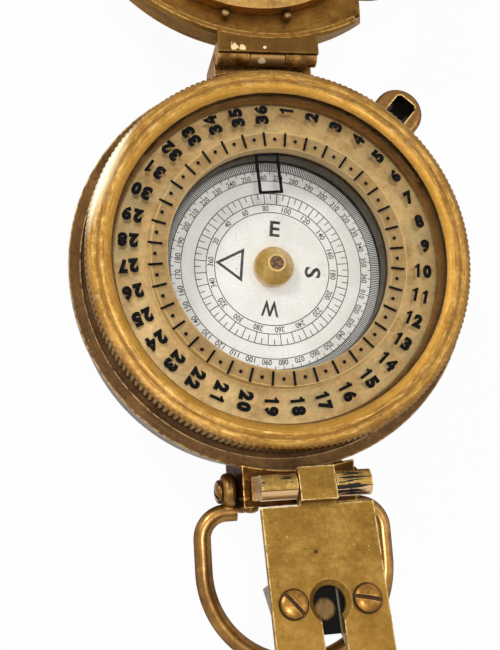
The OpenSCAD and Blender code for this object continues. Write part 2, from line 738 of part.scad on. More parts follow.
// A slotted round head on a shank, along Z from z = 0
module slotted_screw(head_r, head_h, shank, depth) difference() {
    side_h = head_h * 0.3;
    turned([
        [0, -depth], [shank, -depth], [shank, 0], [head_r, 0],
        for (a = [0 : 15 : 75]) [head_r * cos(a), side_h + (head_h - side_h) * sin(a)],
        [0, head_h]
    ]);
    translate([-head_r, -driver_slot / 2, head_h * 0.45]) cube([2 * head_r, driver_slot, head_h]);
}

module cover_screws() color("#8e6c38") cover_screw_places()
    slotted_screw(cover_head_r, cover_head_h, cover_head_r / 2 - seat_gap, cover_t + cover_bite);

module ring_screws() color("#a4793f") both_sides()
    translate([ear_out + side_gap, prism_axis_y, ring_z]) rotate([0, 90, 0]) rotate([0, 0, 35])
        slotted_screw(ring_head_r, ring_head_h, ring_pin_r, ear_out + side_gap - bracket_half + ring_bite);

module prism_slide() color("#a8842f") difference() {
    union() {
        translate([-slide_half, slide_front, tongue_z])
            cube([2 * slide_half, slide_t, head_z - tongue_z + past]);
        translate([-prism_hinge_half, prism_axis_y - head_half_y, head_z])
            cube([2 * prism_hinge_half, 2 * head_half_y, prism_z - head_z]);
        bar_x(prism_knuckle_r, -prism_hinge_half, prism_hinge_half, prism_axis_y, prism_z);
    }
    strap_space();
    bar_x(bore_r, -prism_hinge_half - past, prism_hinge_half + past, prism_axis_y, prism_z);
}

module prism_hinge_pin() color("#b08d45")
    bar_x(pin_r, -prism_hinge_half, prism_hinge_half, prism_axis_y, prism_z);

module prism_screw_places() both_sides()
    translate([prism_screw_x, -keyhole_y, plate_rise]) children();

module prism_plate() color("#a5822e") prism_place() difference() {
    union() {
        translate([-plate_w / 2, -plate_end, plate_under]) cube([plate_w, plate_l, plate_t]);
        translate([-prism_mid_half, -plate_start - past, plate_under])
            cube([2 * prism_mid_half, plate_start + past, plate_t]);
        bar_x(prism_knuckle_r, -prism_mid_half, prism_mid_half, 0, 0);
        translate([-prism_mid_half, pass_gap - plate_start, 0])
            cube([2 * prism_mid_half, plate_start - pass_gap + strap_back, strap_h]);
    }
    bar_x(bore_r, -prism_mid_half - past, prism_mid_half + past, 0, 0);
    translate([0, -keyhole_y, plate_under - past]) cylinder(r = keyhole_r, h = plate_t + 2 * past);
    translate([0, -keyhole_y, plate_rise - keyhole_bevel]) cylinder(r1 = keyhole_r,
        r2 = keyhole_r + keyhole_bevel + seat_gap, h = keyhole_bevel + seat_gap);
    translate([-slot_half, -plate_end - past, plate_under - past])
        cube([2 * slot_half, plate_end + past - keyhole_y, plate_t + 2 * past]);
    prism_screw_places() translate([0, 0, -plate_t - past])
        cylinder(r = prism_head_r / 2, h = plate_t + 2 * past);
}

// A wedge with its right angle under the plate, as [y, z] points: reach is its leg's length
module wedge(x, y, top, reach) along_x(-x, x)
    polygon([[-y, top], [-y, top - reach], [-y - reach, top]]);

module prism_housing() {
    leg = housing_d - plate_t;
    inside = leg - end_wall_t - slope_t * sqrt(2);
    color("#8d6f31") prism_place() difference() {
        wedge(housing_half, housing_y, plate_under - seat_gap, leg);
        wedge(glass_half + seat_gap, housing_y + end_wall_t, plate_under, inside);
        translate([-slot_half, -housing_y - leg, housing_low - past])
            cube([2 * slot_half, leg + housing_s - keyhole_s - keyhole_r, housing_d]);
        translate([0, -housing_y + past, lens_z]) rotate([90, 0, 0])
            cylinder(r = lens_r + seat_gap, h = end_wall_t + 2 * past);
        prism_screw_places() translate([0, 0, -plate_t - prism_bite - seat_gap])
            cylinder(r = prism_head_r / 2, h = prism_bite + plate_t);
    }
}

module sight_prism() {
    leg = housing_d - plate_t - end_wall_t - slope_t * sqrt(2) - 4 * seat_gap;
    color("#cfe0dc", 0.5) prism_place()
        wedge(glass_half, housing_y + end_wall_t + seat_gap, plate_under - seat_gap, leg);
}

module prism_screws() color("#9a6f33") prism_place() for (side = [0, 1]) mirror([side, 0, 0])
    translate([prism_screw_x, -keyhole_y, plate_rise]) rotate([0, 0, prism_slot_turn[side]])
        slotted_screw(prism_head_r, prism_head_h, prism_head_r / 2 - seat_gap, plate_t + prism_bite);

module eye_lens() color("#cfe0dc", 0.5) prism_place()
    translate([0, -housing_y - end_wall_t + seat_gap, lens_z]) rotate([-90, 0, 0])
        cylinder(r = lens_r, h = end_wall_t - seat_gap);

module eye_lens_ring() color("#a8842f") prism_place()
    translate([0, -housing_y + seat_gap, lens_z]) rotate([-90, 0, 0]) difference() {
        cylinder(r = lens_r + lens_ring_t, h = lens_ring_out);
        translate([0, 0, -past]) cylinder(r = lens_r - lens_ring_t / 2, h = lens_ring_out + 2 * past);
    }

// Half of an ear's section, from its middle to its rounded rim
function ear_outline() = let (inner_r = ear_r - ear_round) [
    [0, 0],
    for (a = [-90 : 30 : 0]) [inner_r + ear_round * cos(a), ear_round * (1 + sin(a))],
    for (a = [0 : 30 : 90]) [inner_r + ear_round * cos(a), ear_t - ear_round * (1 - sin(a))],
    [0, ear_t]
];

// An ear's neck, seen along its length
module neck_section() {
    half_h = ring_wire_r - neck_drop;
    translate([ear_round, -half_h]) square([ear_t - 2 * ear_round, 2 * half_h]);
    translate([0, ear_round - half_h]) square([ear_t, 2 * (half_h - ear_round)]);
    for (x = [ear_round, ear_t - ear_round], z = [ear_round - half_h, half_h - ear_round])
        translate([x, z]) circle(r = ear_round);
}

module thumb_ring() color("#8f6a35") ring_place() difference() {
    union() {
        rotate([0, 0, 180]) translate([0, ring_reach, 0]) rotate_extrude(angle = 180)
            translate([ring_half, 0]) circle(r = ring_wire_r);
        both_sides() {
            translate([ring_half, -ring_reach, 0]) rotate([-90, 0, 0])
                cylinder(r = ring_wire_r, h = ring_reach - ring_neck - ring_shoulder);
            translate([ring_half - ring_shoulder, -ring_neck - ring_shoulder, 0])
                rotate_extrude(angle = 90) translate([ring_shoulder, 0]) circle(r = ring_wire_r);
            bar_x(ring_wire_r, ear_in, ring_half - ring_shoulder, -ring_neck, 0);
            translate([ear_in, 0, 0]) rotate([0, 90, 0]) turned(ear_outline());
            translate([ear_in, 0, 0]) rotate([90, 0, 0]) linear_extrude(ring_neck) neck_section();
        }
    }
    both_sides() bar_x(ring_pin_r + run_gap, ear_in - past, ear_out + past, 0, 0);
}

case_body();
dial_ring();
inner_glass();
inner_glass_ring();
pivot_post();
pivot_needle();
bezel_wire();
lanyard_lug();
lid_hinge_bracket();
lid_hinge_pin();
prism_bracket();
bracket_cover();
cover_screws();
ring_screws();
bezel_ring();
bezel_glass();
bezel_glass_ring();
compass_card();
card_cup();
cup_jewel();
bar_magnet();
lid_shell();
lid_glass();
lid_glass_ring();
lid_studs();
prism_slide();
prism_hinge_pin();
prism_plate();
prism_housing();
sight_prism();
prism_screws();
eye_lens();
eye_lens_ring();
thumb_ring();
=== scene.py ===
import math
import bpy
from mathutils import Matrix, Vector


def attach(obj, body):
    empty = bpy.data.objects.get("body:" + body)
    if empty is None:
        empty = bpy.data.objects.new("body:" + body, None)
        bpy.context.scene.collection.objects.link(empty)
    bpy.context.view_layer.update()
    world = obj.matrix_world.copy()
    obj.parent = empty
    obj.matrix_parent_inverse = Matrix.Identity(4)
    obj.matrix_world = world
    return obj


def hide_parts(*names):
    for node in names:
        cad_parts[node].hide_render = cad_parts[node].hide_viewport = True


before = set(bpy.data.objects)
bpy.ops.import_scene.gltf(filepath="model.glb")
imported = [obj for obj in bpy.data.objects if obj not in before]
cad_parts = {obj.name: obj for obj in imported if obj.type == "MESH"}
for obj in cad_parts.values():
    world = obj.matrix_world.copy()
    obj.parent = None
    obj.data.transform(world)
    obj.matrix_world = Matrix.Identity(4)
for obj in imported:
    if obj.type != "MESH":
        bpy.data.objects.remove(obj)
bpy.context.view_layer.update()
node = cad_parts
mm = 0.001
print("frame loaded:", len(node), "nodes")


# camera, room and lamps
camera = {
    "place": (-0.03027, -0.03464, 0.14554),
    "right": (0.98120, -0.06516, 0.18163),
    "down": (-0.02856, -0.97993, -0.19728),
    "ahead": (0.19084, 0.18839, -0.96337),
    "lens": 49.846,
    "sensor": 36,
    "near": 0.005, "far": 20,
}
room = {
    "sky": 0.40,            # what the room gives the object
    "floor": 0.82,
    "floorSize": 8,
    "whitening": 0.95,      # how far the floor is taken to plain white in view
}
lamps = {   # where each comes from, how far away, how wide and how strong
    "overhead": ((-0.13, -0.08, 0.99), 0.60, 0.09, 1.25),
    "rightSoft": ((0.60, 0.12, 0.79), 0.65, 0.30, 0.50),
    "leftSoft": ((-0.50, 0.56, 0.66), 0.65, 0.15, 1.45),
}


def placeCamera():
    data = bpy.data.cameras.new("photoCamera")
    data.lens = camera["lens"]
    data.sensor_width = camera["sensor"]
    data.clip_start, data.clip_end = camera["near"], camera["far"]
    eye = bpy.data.objects.new("photoCamera", data)
    bpy.context.scene.collection.objects.link(eye)
    right, down, ahead = (Vector(camera[k]) for k in ("right", "down", "ahead"))
    turn = Matrix((right, -down, -ahead)).transposed().to_4x4()
    eye.matrix_world = Matrix.Translation(camera["place"]) @ turn
    bpy.context.scene.camera = eye


def seenRay(tree):
    # 1 for what the lens, a reflection or a glass sees, 0 for plain light
    path = tree.nodes.new("ShaderNodeLightPath")
    a = calc(tree, "MAXIMUM", path.outputs["Is Camera Ray"], path.outputs["Is Glossy Ray"])
    return calc(tree, "MAXIMUM", a, path.outputs["Is Transmission Ray"])


def lightRoom():
    world = bpy.data.worlds.new("studio")
    bpy.context.scene.world = world
    world.use_nodes = True
    tree = world.node_tree
    back = tree.nodes["Background"]
    back.inputs["Color"].default_value = (1, 1, 1, 1)
    seen = seenRay(tree)
    level = calc(tree, "MULTIPLY_ADD", seen, 1 - room["sky"], room["sky"])
    tree.links.new(level, back.inputs["Strength"])

    bpy.ops.mesh.primitive_plane_add(size=room["floorSize"], location=(0, 0, 0))
    floor = bpy.context.object
    floor.name = "studioFloor"
    skin = bpy.data.materials.new("studioPaper")
    skin.use_nodes = True
    tree = skin.node_tree
    tree.nodes.clear()
    paper = pick(tree, "BsdfDiffuse")
    paper.inputs["Color"].default_value = (room["floor"],) * 3 + (1,)
    white = pick(tree, "Emission")
    white.inputs["Strength"].default_value = 1
    both = pick(tree, "MixShader")
    out = pick(tree, "OutputMaterial")
    tree.links.new(calc(tree, "MULTIPLY", seenRay(tree), room["whitening"]), both.inputs[0])
    tree.links.new(paper.outputs[0], both.inputs[1])
    tree.links.new(white.outputs[0], both.inputs[2])
    tree.links.new(both.outputs[0], out.inputs["Surface"])
    floor.data.materials.append(skin)

    for name, (way, away, size, power) in lamps.items():
        lamp = bpy.data.lights.new(name, "AREA")
        lamp.shape = "DISK"
        lamp.size = size
        lamp.energy = power
        body = bpy.data.objects.new(name, lamp)
        bpy.context.scene.collection.objects.link(body)
        way = Vector(way).normalized()
        body.location = way * away
        body.rotation_euler = way.to_track_quat("Z", "Y").to_euler()
        body.visible_camera = False


# small helpers for node trees
def tone(r, g, b):
    # a colour as it looks on screen, each part 0 to 255
    return tuple(((c / 255 + 0.055) / 1.055) ** 2.4 if c > 10 else c / 3294.6 for c in (r, g, b)) + (1.0,)


def pick(tree, kind, **settings):
    made = tree.nodes.new("ShaderNode" + kind)
    for key, value in settings.items():
        setattr(made, key, value)
    return made


def feed(tree, socket, value):
    if isinstance(value, bpy.types.NodeSocket):
        tree.links.new(value, socket)
    else:
        socket.default_value = value


def calc(tree, operation, *values, clamp=False):
    made = pick(tree, "Math", operation=operation, use_clamp=clamp)
    for i, value in enumerate(values):
        feed(tree, made.inputs[i], value)
    return made.outputs[0]


def vec(tree, operation, *values):
    made = pick(tree, "VectorMath", operation=operation)
    for i, value in enumerate(values):
        feed(tree, made.inputs[i], value)
    return made.outputs["Value"] if operation in ("LENGTH", "DISTANCE", "DOT_PRODUCT") else made.outputs[0]


def tint(tree, factor, under, over):
    made = pick(tree, "Mix", data_type="RGBA", clamp_factor=True)
    feed(tree, made.inputs[0], factor)
    feed(tree, made.inputs[6], under)
    feed(tree, made.inputs[7], over)
    return made.outputs[2]


def between(tree, value, low, high):
    # 0 below low, 1 above high, smooth on the way
    made = pick(tree, "MapRange", interpolation_type="SMOOTHSTEP")
    feed(tree, made.inputs["Value"], value)
    feed(tree, made.inputs["From Min"], low)
    feed(tree, made.inputs["From Max"], high)
    return made.outputs["Result"]


def clouds(tree, where, scale, detail, rough):
    made = pick(tree, "TexNoise")
    feed(tree, made.inputs["Vector"], where)
    feed(tree, made.inputs["Scale"], scale)
    made.inputs["Detail"].default_value = detail
    made.inputs["Roughness"].default_value = rough
    return made.outputs["Fac"]


def times(tree, first, *more):
    for value in more:
        first = calc(tree, "MULTIPLY", first, value)
    return first


def lacking(tree, value):
    # what is missing to a full 1
    return calc(tree, "SUBTRACT", 1.0, value)


def within(tree, value, low, high, soft):
    # 1 from low to high, 0 past a soft border outside them
    return times(tree, between(tree, value, low - soft, low), between(tree, value, high + soft, high))


def fromAxis(tree, place, middle):
    # how far a place is from an upright axis
    return vec(tree, "LENGTH", vec(tree, "MULTIPLY", vec(tree, "SUBTRACT", place, middle), (1, 1, 0)))


def openGroup(name, inputs, outputs):
    tree = bpy.data.node_groups.new(name, "ShaderNodeTree")
    kinds = {"c": "NodeSocketColor", "v": "NodeSocketVector", "f": "NodeSocketFloat"}
    for way, sockets in (("INPUT", inputs), ("OUTPUT", outputs)):
        for key, kind in sockets.items():
            tree.interface.new_socket(key, in_out=way, socket_type=kinds[kind])
    return tree, tree.nodes.new("NodeGroupInput").outputs, tree.nodes.new("NodeGroupOutput").inputs


def useGroup(tree, group, **values):
    made = tree.nodes.new("ShaderNodeGroup")
    made.node_tree = group
    for key, value in values.items():
        feed(tree, made.inputs[key], value)
    return made.outputs


# effects that many finishes share
mottle = {      # pairs say where on the noise an effect starts and where it is full
    "finer": 6.0, "finerShare": 0.4,    # the small pattern against the large one
    "hollows": (0.34, 0.54), "heights": (0.48, 0.70),
    "middle": 0.5, "strokeReach": 0.30,
    "grain": (0.50, 0.72), "grainScale": 5.0, "grainMuch": 0.22,
    "specks": (0.665, 0.70), "speckScale": 2.4, "speckInk": tone(30, 20, 12),
    "nickGlints": (0.70, 0.75), "nickScale": 3.6, "nickShift": (31.0, 7.0, 3.0), "nickGlintTone": tone(250, 226, 170),
    "blend": 0.6,
    "evenAt": 0.58, "swing": 0.35, "strokeRough": 0.25, "speckRough": 0.25, "smoothest": 0.10,
    "strokeHigh": 0.5, "cloudHigh": 0.5, "speckDeep": 0.4,
}


def makeHandledBrass():
    # mottled metal: deep tone in the hollows of the pattern, pale where hands rubbed it
    look = mottle
    t, i, o = openGroup("handledBrass",
        {"Place": "v", "Pale": "c", "Body": "c", "Deep": "c", "Patch": "f", "Cloud": "f", "Lines": "f",
         "Marks": "f", "Specks": "f", "Glints": "f", "Shine": "f"},
        {"Color": "c", "Roughness": "f", "Height": "f"})
    big = clouds(t, i["Place"], i["Patch"], 5.0, 0.62)
    small = clouds(t, i["Place"], times(t, i["Patch"], look["finer"]), 4.0, 0.65)
    grain = clouds(t, i["Place"], look["grainScale"], 2.0, 0.5)
    mixed = calc(t, "MULTIPLY_ADD", small, look["finerShare"], times(t, big, 1 - look["finerShare"]))
    c = tint(t, times(t, lacking(t, between(t, mixed, *look["hollows"])), i["Cloud"]), i["Body"], i["Deep"])
    c = tint(t, times(t, between(t, mixed, *look["heights"]), i["Cloud"]), c, i["Pale"])
    strokes = calc(t, "SUBTRACT", i["Lines"], look["middle"])
    dark = between(t, strokes, 0.0, look["strokeReach"])
    light = between(t, times(t, strokes, -1.0), 0.0, look["strokeReach"])
    c = tint(t, times(t, dark, i["Marks"]), c, i["Deep"])
    c = tint(t, times(t, light, i["Marks"]), c, i["Pale"])
    c = tint(t, times(t, between(t, grain, *look["grain"]), look["grainMuch"]), c, i["Deep"])
    dots = clouds(t, i["Place"], look["speckScale"], 2.0, 0.6)
    dots = times(t, between(t, dots, *look["specks"]), i["Specks"])
    c = tint(t, dots, c, tint(t, look["blend"], i["Deep"], look["speckInk"]))
    # bright nicks through the patina, partly painted glints
    nickGlints = clouds(t, vec(t, "ADD", i["Place"], look["nickShift"]), look["nickScale"], 3.0, 0.6)
    nickGlints = times(t, between(t, nickGlints, *look["nickGlints"]), i["Glints"])
    c = tint(t, nickGlints, c, tint(t, look["blend"], i["Pale"], look["nickGlintTone"]))
    t.links.new(c, o["Color"])
    rough = calc(t, "MULTIPLY_ADD", calc(t, "SUBTRACT", look["evenAt"], mixed), look["swing"], i["Shine"])
    rough = calc(t, "MULTIPLY_ADD", strokes, look["strokeRough"], rough)
    rough = calc(t, "MULTIPLY_ADD", dots, look["speckRough"], rough)
    t.links.new(calc(t, "MAXIMUM", rough, look["smoothest"]), o["Roughness"])
    high = calc(t, "MULTIPLY_ADD", strokes, look["strokeHigh"], times(t, small, look["cloudHigh"]))
    t.links.new(calc(t, "SUBTRACT", high, times(t, dots, look["speckDeep"])), o["Height"])
    return t


edgeWear = {
    "samples": 6,
    "patchScale": 0.9, "patches": (0.34, 0.56),     # rubbing comes and goes along an edge
    "edge": (0.08, 0.42), "nook": (0.12, 0.75),     # how far closed in a place is, from 0 to 1
    "nookSwing": 0.8, "nookLeast": 0.6,
}


def makeRubbedEdges():
    # where an edge stands proud and is worn bright, and where dirt and painted shade sit in a corner
    look = edgeWear
    t, i, o = openGroup("rubbedEdges", {"Place": "v", "Reach": "f", "Corner": "f"}, {"Edge": "f", "Nook": "f"})
    proud = pick(t, "AmbientOcclusion", samples=look["samples"], inside=True, only_local=True)
    feed(t, proud.inputs["Distance"], i["Reach"])
    hollow = pick(t, "AmbientOcclusion", samples=look["samples"])
    feed(t, hollow.inputs["Distance"], i["Corner"])
    uneven = clouds(t, i["Place"], look["patchScale"], 4.0, 0.65)
    edge = between(t, lacking(t, proud.outputs["AO"]), *look["edge"])
    t.links.new(times(t, edge, between(t, uneven, *look["patches"])), o["Edge"])
    nook = between(t, lacking(t, hollow.outputs["AO"]), *look["nook"])
    uneven = calc(t, "MULTIPLY_ADD", uneven, look["nookSwing"], look["nookLeast"])
    t.links.new(calc(t, "MULTIPLY", nook, uneven, clamp=True), o["Nook"])
    return t


def makeLatheLines():
    # fine rings left by the lathe, round an upright axis
    t, i, o = openGroup("latheLines",
        {"Place": "v", "Centre": "v", "Pitch": "f", "Round": "f"}, {"Lines": "f", "Radius": "f"})
    away = vec(t, "SUBTRACT", i["Place"], i["Centre"])
    parts = pick(t, "SeparateXYZ")
    t.links.new(away, parts.inputs[0])
    flat = pick(t, "CombineXYZ")
    t.links.new(parts.outputs[0], flat.inputs[0])
    t.links.new(parts.outputs[1], flat.inputs[1])
    radius = vec(t, "LENGTH", flat.outputs[0])
    unit = vec(t, "NORMALIZE", flat.outputs[0])
    turned = pick(t, "CombineXYZ")
    t.links.new(times(t, calc(t, "ADD", radius, parts.outputs[2]), i["Pitch"]), turned.inputs[2])
    often = pick(t, "CombineXYZ")
    t.links.new(i["Round"], often.inputs[0])
    t.links.new(i["Round"], often.inputs[1])
    along = vec(t, "ADD", vec(t, "MULTIPLY", unit, often.outputs[0]), turned.outputs[0])
    t.links.new(clouds(t, along, 1.0, 3.0, 0.7), o["Lines"])
    t.links.new(radius, o["Radius"])
    return t


tornEdge = {"fall": 0.35, "border": 0.012}      # how fast the paint thins out, and how sharp it is torn


def makePeeledPaint():
    # the islands of paint or grime that are left near a place, with torn edges
    t, i, o = openGroup("peeledPaint",
        {"Place": "v", "Spot": "v", "Spread": "f", "Cover": "f", "Grain": "f", "Stretch": "v"}, {"Mask": "f"})
    near = calc(t, "DIVIDE", vec(t, "DISTANCE", i["Place"], i["Spot"]), i["Spread"])
    need = calc(t, "ADD", lacking(t, i["Cover"]), times(t, calc(t, "POWER", near, 2.0), tornEdge["fall"]))
    torn = clouds(t, vec(t, "MULTIPLY", i["Place"], i["Stretch"]), i["Grain"], 7.0, 0.62)
    torn = calc(t, "SUBTRACT", torn, need)
    t.links.new(between(t, torn, -tornEdge["border"], tornEdge["border"]), o["Mask"])
    return t


handledBrass = makeHandledBrass()
rubbedEdges = makeRubbedEdges()
latheLines = makeLatheLines()
peeledPaint = makePeeledPaint()
placeCamera()
lightRoom()
bpy.context.scene.view_settings.view_transform = "Standard"
print("camera, room and shared effects ready")


# finishes
def startFinish(name):
    m = bpy.data.materials.new(name)
    m.use_nodes = True
    tree = m.node_tree
    tree.nodes.clear()
    skin = pick(tree, "BsdfPrincipled")
    out = pick(tree, "OutputMaterial")
    tree.links.new(skin.outputs[0], out.inputs["Surface"])
    where = pick(tree, "TexCoord").outputs["Object"]
    place = vec(tree, "MULTIPLY", where, (1 / mm,) * 3)
    return m, tree, skin, place


laidOn = {      # how the marks of a metal finish are laid on, lengths in mm
    "often": 2.2,     # how soon the lathe's lines break off round a turn
    "bandEdge": 0.06, "bandPatch": 0.5,
    "wallEdge": 0.08, "levelEdge": 0.15,
    "pitEdge": 0.1, "pitTop": 0.3, "pitRough": 0.4,
    "nookRough": 0.25, "paintRough": 0.55, "dotEdge": (0.8, 1.1),
    "coatRough": 0.22, "bumpDepth": 0.05,
}


def metalFinish(name, look):
    m, t, skin, place = startFinish(name)
    how = laidOn
    radius = None
    lines = 0.5
    if "lathe" in look:
        made = useGroup(t, latheLines, Place=place, Centre=look["lathe"], Pitch=look["pitch"],
                        Round=how["often"])
        lines, radius = made["Lines"], made["Radius"]
    if "drawn" in look:      # straight brush marks, long where the number is small
        lines = clouds(t, vec(t, "MULTIPLY", place, look["drawn"]), 1.0, 3.0, 0.65)
    base = useGroup(t, handledBrass, Place=place, Pale=look["pale"], Body=look["body"], Deep=look["deep"],
                    Patch=look.get("patch", 0.25), Cloud=look.get("cloud", 0.6), Lines=lines,
                    Marks=look.get("marks", 0.4), Specks=look.get("specks", 0.5),
                    Glints=look.get("nickGlintMuch", 0.3), Shine=look.get("shine", 0.35))
    colour, rough, high = base["Color"], base["Roughness"], base["Height"]
    metal = look.get("metal", 0.85)
    for grain, start, full, shade, much in look.get("stains", ()):
        mask = between(t, clouds(t, place, grain, 5.0, 0.62), start, full)
        colour = tint(t, times(t, mask, much), colour, shade)
    for pitch, often, start, full, shade, much in look.get("streaks", ()):
        drawn = useGroup(t, latheLines, Place=place, Centre=look["lathe"], Pitch=pitch, Round=often)["Lines"]
        colour = tint(t, times(t, between(t, drawn, start, full), much), colour, shade)
    for inner, outer, shade, much, patchy in look.get("bands", ()):      # round the lathe's axis
        edge = how["bandEdge"]
        ring = within(t, radius, inner + edge, outer - edge, 2 * edge)
        wave = calc(t, "MULTIPLY_ADD", clouds(t, place, how["bandPatch"], 4.0, 0.6), patchy, 1 - patchy / 2)
        colour = tint(t, calc(t, "MULTIPLY", times(t, ring, wave), much, clamp=True), colour, shade)
    rub = useGroup(t, rubbedEdges, Place=place, Reach=look.get("reach", 0.3) * mm,
                   Corner=look.get("corner", 1.5) * mm)
    colour = tint(t, times(t, rub["Edge"], look.get("wear", 0.7)), colour, look.get("worn", look["pale"]))
    # dirt and painted shade darken a place the more closed in it is
    colour = tint(t, times(t, rub["Nook"], look.get("dirt", 0.7)), colour, look.get("grimeAndShade", tone(48, 34, 20)))
    rough = calc(t, "MULTIPLY_ADD", rub["Nook"], how["nookRough"], rough)
    for way, start, full, shade, much in look.get("zones", ()):      # one side of a plane
        side = between(t, vec(t, "DOT_PRODUCT", place, way), start, full)
        colour = tint(t, times(t, side, much), colour, shade)
    level = vec(t, "DOT_PRODUCT", place, (0, 0, 1))
    for middle, inner, outer, low, top, shade, much in look.get("skirts", ()):      # round an upright wall
        side = within(t, fromAxis(t, place, middle), inner, outer, how["wallEdge"])
        tall = within(t, level, low, top - how["levelEdge"], how["levelEdge"])
        colour = tint(t, times(t, side, tall, much), colour, shade)
    for spot, spread, cover, grain, shade, lift in look.get("paint", ()):
        mask = useGroup(t, peeledPaint, Place=place, Spot=spot, Spread=spread, Cover=cover, Grain=grain,
                        Stretch=look.get("torn", (1, 1, 1)))["Mask"]
        colour = tint(t, mask, colour, shade)
        metal = times(t, metal, lacking(t, times(t, mask, look.get("chalky", 1.0))))
        rough = calc(t, "MULTIPLY_ADD", mask, calc(t, "SUBTRACT", how["paintRough"], rough), rough)
        high = calc(t, "MULTIPLY_ADD", mask, lift, high)
    # painted shade: dark inside an upright hole
    for middle, reach, top, shade in look.get("shadedPits", ()):      # inside an upright hole
        deep = times(t, between(t, fromAxis(t, place, middle), reach, reach - how["pitEdge"]),
                     between(t, level, top, top - how["pitTop"]))
        colour = tint(t, deep, colour, shade)
        rough = calc(t, "MULTIPLY_ADD", deep, how["pitRough"], rough)
    for spot, reach, shade in look.get("dots", ()):
        full, none = (reach * share for share in how["dotEdge"])
        colour = tint(t, between(t, vec(t, "DISTANCE", place, spot), none, full), colour, shade)
    feed(t, skin.inputs["Base Color"], colour)
    feed(t, skin.inputs["Roughness"], rough)
    feed(t, skin.inputs["Metallic"], metal)
    skin.inputs["Coat Weight"].default_value = look.get("coat", 0.0)
    skin.inputs["Coat Roughness"].default_value = look.get("coatShine", how["coatRough"])
    skin.inputs["Specular Tint"].default_value = look.get("rim", (1, 1, 1, 1))      # of grazing light
    soft = pick(t, "Bevel", samples=4)
    soft.inputs["Radius"].default_value = look.get("round", 0.12) * mm
    bump = pick(t, "Bump")
    bump.inputs["Strength"].default_value = look.get("bump", 0.2)
    bump.inputs["Distance"].default_value = how["bumpDepth"] * mm
    feed(t, bump.inputs["Height"], high)
    feed(t, bump.inputs["Normal"], soft.outputs[0])
    feed(t, skin.inputs["Normal"], bump.outputs[0])
    return m


pane = {      # what clear and dark glass share
    "bend": 1.46, "edgeBlend": 0.35, "edgeFall": 3.0, "edgeBody": 0.8,
    "dustScale": 2.2, "dustAt": (0.66, 0.74), "dustRough": 0.4,
    "hairStretch": (0.12, 3.0, 3.0), "hairAt": (0.70, 0.74),
}


def glassFinish(name, look):
    m, t, skin, place = startFinish(name)
    skin.inputs["Base Color"].default_value = look["tintOf"]
    skin.inputs["Transmission Weight"].default_value = 1.0
    skin.inputs["IOR"].default_value = pane["bend"]
    skin.inputs["Specular IOR Level"].default_value = look["mirror"]
    path = pick(t, "LightPath")
    edge = pick(t, "LayerWeight")
    edge.inputs["Blend"].default_value = pane["edgeBlend"]
    edge = calc(t, "POWER", edge.outputs["Facing"], pane["edgeFall"])
    seen = calc(t, "MAXIMUM", path.outputs["Is Camera Ray"], path.outputs["Is Glossy Ray"])
    dust = between(t, clouds(t, place, pane["dustScale"], 5.0, 0.7), *pane["dustAt"])
    hair = clouds(t, vec(t, "MULTIPLY", place, pane["hairStretch"]), 1.0, 2.0, 0.5)
    dirt = calc(t, "MAXIMUM", dust, between(t, hair, *pane["hairAt"]))
    body = calc(t, "MULTIPLY_ADD", edge, pane["edgeBody"], look["body"])
    body = calc(t, "ADD", body, times(t, dirt, look["dust"]), clamp=True)
    feed(t, skin.inputs["Alpha"], calc(t, "ADD", times(t, body, seen), look["shade"]))
    feed(t, skin.inputs["Roughness"], calc(t, "MULTIPLY_ADD", dust, pane["dustRough"], look["shine"]))
    return m


def prismFinish(name, look):
    # glass painted near black for the shade inside the housing, with a painted reflection of brass as a disc
    # and a pale strip across it
    m, t, skin, place = startFinish(name)
    near = vec(t, "DISTANCE", place, look["reflectedDisc"])
    wisps = clouds(t, vec(t, "MULTIPLY", place, look["wispStretch"]), 1.0, 2.0, 0.5)
    reflectedGold = tint(t, between(t, wisps, *look["wispAt"]), look["reflectionDark"], look["reflectionPale"])
    reflectedDisc = between(t, near, look["reflectedDiscReach"], look["reflectedDiscReach"] - look["reflectedDiscEdge"])
    across = vec(t, "DOT_PRODUCT", place, (1, 0, 0))
    left, right = look["strip"]
    strip = times(t, between(t, across, left, left + look["stripEdges"][0]),
                  between(t, across, right + look["stripEdges"][1], right))
    colour = tint(t, times(t, reflectedDisc, look["reflectedDiscMuch"]), look["dark"], reflectedGold)
    colour = tint(t, times(t, strip, look["stripMuch"]), colour, look["stripTone"])
    feed(t, skin.inputs["Base Color"], colour)
    feed(t, skin.inputs["Roughness"], calc(t, "MULTIPLY_ADD", wisps, look["wispRough"], look["shine"]))
    skin.inputs["Specular IOR Level"].default_value = look["mirror"]
    return m


def coat(made, finish):
    made.data.materials.clear()
    made.data.materials.append(finish)


def dress(finish, *names):
    for name in names:
        coat(node[name], finish)
        for face in node[name].data.polygons:
            face.material_index = 0


